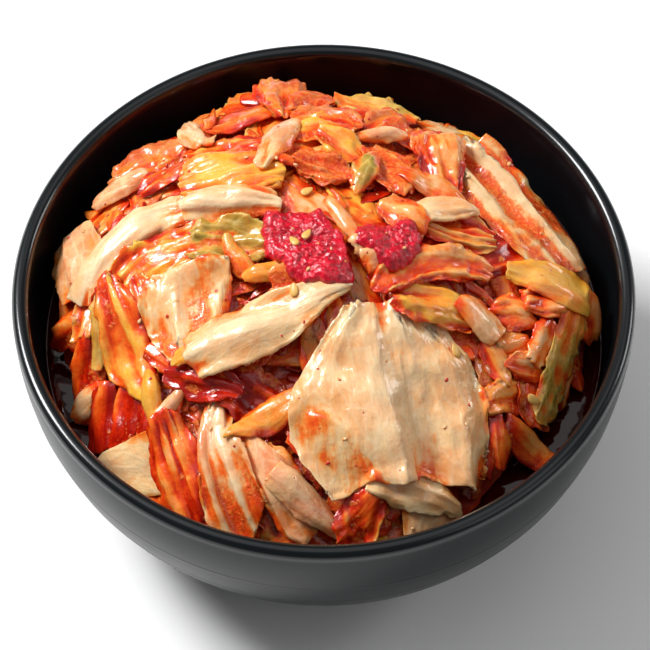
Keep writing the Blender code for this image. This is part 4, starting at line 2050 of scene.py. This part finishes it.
@dataclass
class Toppings:
    """Chilli flakes, garlic and sesame seeds.

    Attributes:
        heap: What they lie on.
        seeds: Each seed's middle and heading.
        seed_size: Half a seed's length, width and thickness.
        steepest: The steepest step that flakes and garlic lie on.
        reach: How far from the axis they go.
        every: How many of the height field's cells a cell of the strewing ground spans.
    """

    heap: Heap
    seeds: tuple[Point, ...] = (
        (-7, 0, 125),
        (-4, 2, 60),
        (-4, 17, 30),
        (-7, -12, 95),
        (31, -22, 110),
        (50, -27, 0),
    )
    seed_size: Point = (1.6, 0.95, 0.42)
    steepest: float = 2.4
    reach: float = 66
    every: int = 2

    def ground(self) -> bpy.types.Object:
        """Take the level parts of the heap's upper surface to strew bits on.

        Returns:
            A thin mesh, which is only a help.
        """
        field = self.heap.field
        grids = [grid[:: self.every, :: self.every] for grid in (field.x, field.y, field.z)]
        points = np.stack(grids, -1).reshape(-1, 3)
        faces = grid_faces(*grids[0].shape)
        corner_z = points[faces][:, :, 2]
        level = corner_z.max(1) - corner_z.min(1) < self.steepest
        radius = np.hypot(points[faces][:, :, 0], points[faces][:, :, 1]).max(1)
        keep = level & (radius < self.reach) & (corner_z.min(1) > self.heap.brine.level + 1)
        return write_mesh("strewing_ground", points, faces[keep], FloorFinish().build())

    def build(self) -> None:
        """Make every topping."""
        ground = self.ground()
        flake = MashFinish("chilli_flake", tint(190, 20, 8), tint(226, 56, 18), 0.8, 0.25).build()
        garlic = MashFinish("garlic_bit", tint(236, 150, 80), tint(250, 214, 160), 0.8, 0.3).build()
        for strewn in (
            Scatter("chilli_flakes", flake, "chilli_paste", 12000, (0.25, 0.6), (1.0, 0.6, 0.2), 3, 0.3),
            Scatter("garlic_bits", garlic, "kimchi_cabbage", 3000, (0.4, 0.8), (1.0, 0.6, 0.5), 5, 0.6),
        ):
            strewn.build(ground)
        bpy.data.objects.remove(ground)
        self.build_seeds()

    def build_seeds(self) -> None:
        """Lay the sesame seeds, each a flat drop."""
        batch = MeshBatch()
        rows, columns = 14, 16
        half_length, half_width, half_thickness = self.seed_size
        polar = np.linspace(0, math.pi, rows)[None, :]
        around = (np.arange(columns) * math.tau / columns)[:, None]
        for number, (x, y, heading) in enumerate(self.seeds):
            turn = math.radians(heading)
            long = half_length * np.cos(polar) * np.ones_like(around)
            swell = np.sin(polar) * (1 - 0.35 * np.cos(polar))
            wide = half_width * swell * np.cos(around)
            tall = half_thickness * swell * np.sin(around)
            px = x + long * math.cos(turn) - wide * math.sin(turn)
            py = y + long * math.sin(turn) + wide * math.cos(turn)
            lying = self.heap.field.drape(px, py, 1.0, 2.5)
            points = np.stack([px, py, lying + tall + 0.45], -1).reshape(-1, 3)
            route = np.zeros((len(points), 2)) + number
            faces = ring_faces(columns, rows, closed=False)
            batch.add(points, faces, route, np.zeros((len(points), 4)))
        item = batch.write("sesame_seeds", SeedFinish().build())
        merge_close(item, 0.001)
        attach(item, "root")
        LOG.info("sesame seeds: %d", len(self.seeds))


# --------------------------------------------------------------------------- stage


@dataclass(frozen=True)
class Light:
    """A square soft light: its place, the length of its side and its power in watts."""

    name: str
    place: Point
    size: float
    power: float


@dataclass
class Stage:
    """Floor, light and camera, in metres and degrees.

    Attributes:
        rim: The height of the bowl's rim, in millimetres.
        pitch: How far the camera looks down.
        distance: How far it is from what it looks at.
        lens: Its focal length, in millimetres.
        aim_below_rim: How far below the rim it looks.
        shift: How far its view is shifted.
        floor_size: Length of the floor's side.
        lit_height: Height of the point that the lights point at.
        sky: Strength of the even light from all round.
        lights: The lights.
    """

    rim: float
    pitch: float = 56.3
    distance: float = 0.68
    lens: float = 153.0
    aim_below_rim: float = 0.020
    shift: tuple[float, float] = (0.0019, 0.0063)
    floor_size: float = 6.0
    lit_height: float = 0.05
    sky: float = 0.14
    lights: tuple[Light, ...] = (
        Light("key", (-0.74, 0.36, 0.98), 0.42, 20.5),
        Light("overhead", (0.0, 0.25, 1.5), 1.4, 4.0),
        Light("fill", (0.9, -0.5, 0.9), 0.8, 1.5),
        Light("edge", (1.1, 0.45, 0.55), 0.35, 3.0),
    )

    def build_floor(self) -> None:
        """Lay the floor."""
        bpy.ops.mesh.primitive_plane_add(size=self.floor_size, location=(0, 0, 0))
        floor = bpy.context.object
        floor.name = "floor"
        floor.data.materials.append(FloorFinish().build())

    def add_light(self, light: Light) -> None:
        """Add a light that points at the bowl.

        Args:
            light: What it is and where it stands.
        """
        lamp = bpy.data.lights.new(light.name, "AREA")
        lamp.size = light.size
        lamp.energy = light.power
        item = put_in_scene(light.name, lamp)
        item.location = light.place
        towards = Vector((0, 0, self.lit_height)) - Vector(light.place)
        item.rotation_euler = towards.to_track_quat("-Z", "Y").to_euler()

    def build(self) -> None:
        """Make the floor, the lights, the sky and the camera."""
        self.build_floor()
        for light in self.lights:
            self.add_light(light)
        world = bpy.data.worlds.new("studio")
        world.use_nodes = True
        background = world.node_tree.nodes["Background"]
        background.inputs["Color"].default_value = (1, 1, 1, 1)
        background.inputs["Strength"].default_value = self.sky
        bpy.context.scene.world = world
        bpy.context.scene.view_settings.view_transform = "Standard"
        camera = bpy.data.cameras.new("camera")
        camera.lens = self.lens
        camera.sensor_width = 36.0
        camera.shift_x, camera.shift_y = self.shift
        item = put_in_scene("camera", camera)
        aim = Vector((0, 0, self.rim * MM - self.aim_below_rim))
        angle = math.radians(self.pitch)
        item.location = aim + self.distance * Vector((0, -math.cos(angle), math.sin(angle)))
        item.rotation_euler = (math.pi / 2 - angle, 0, 0)
        bpy.context.scene.camera = item


def main() -> None:
    """Build every piece of the kimchi and its bowl, and set the stage."""
    logging.basicConfig(level=logging.INFO, format="%(name)s %(message)s")
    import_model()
    bowl = Bowl()
    bowl.build()
    brine = Brine(bowl)
    brine.build()
    heap = Heap(bowl, brine)
    heap.build()
    Paste("chilli_paste_large", (-4, 0), (9, 8, 11, 13, 10, 8, 11, 14), 3.4, heap).build()
    Paste("chilli_paste_small", (16, 1), (7, 8, 6, 8, 9, 6, 8, 6), 2.8, heap).build()
    Toppings(heap).build()
    Stage(rim=bowl.height).build()


if __name__ == "__main__":
    main()
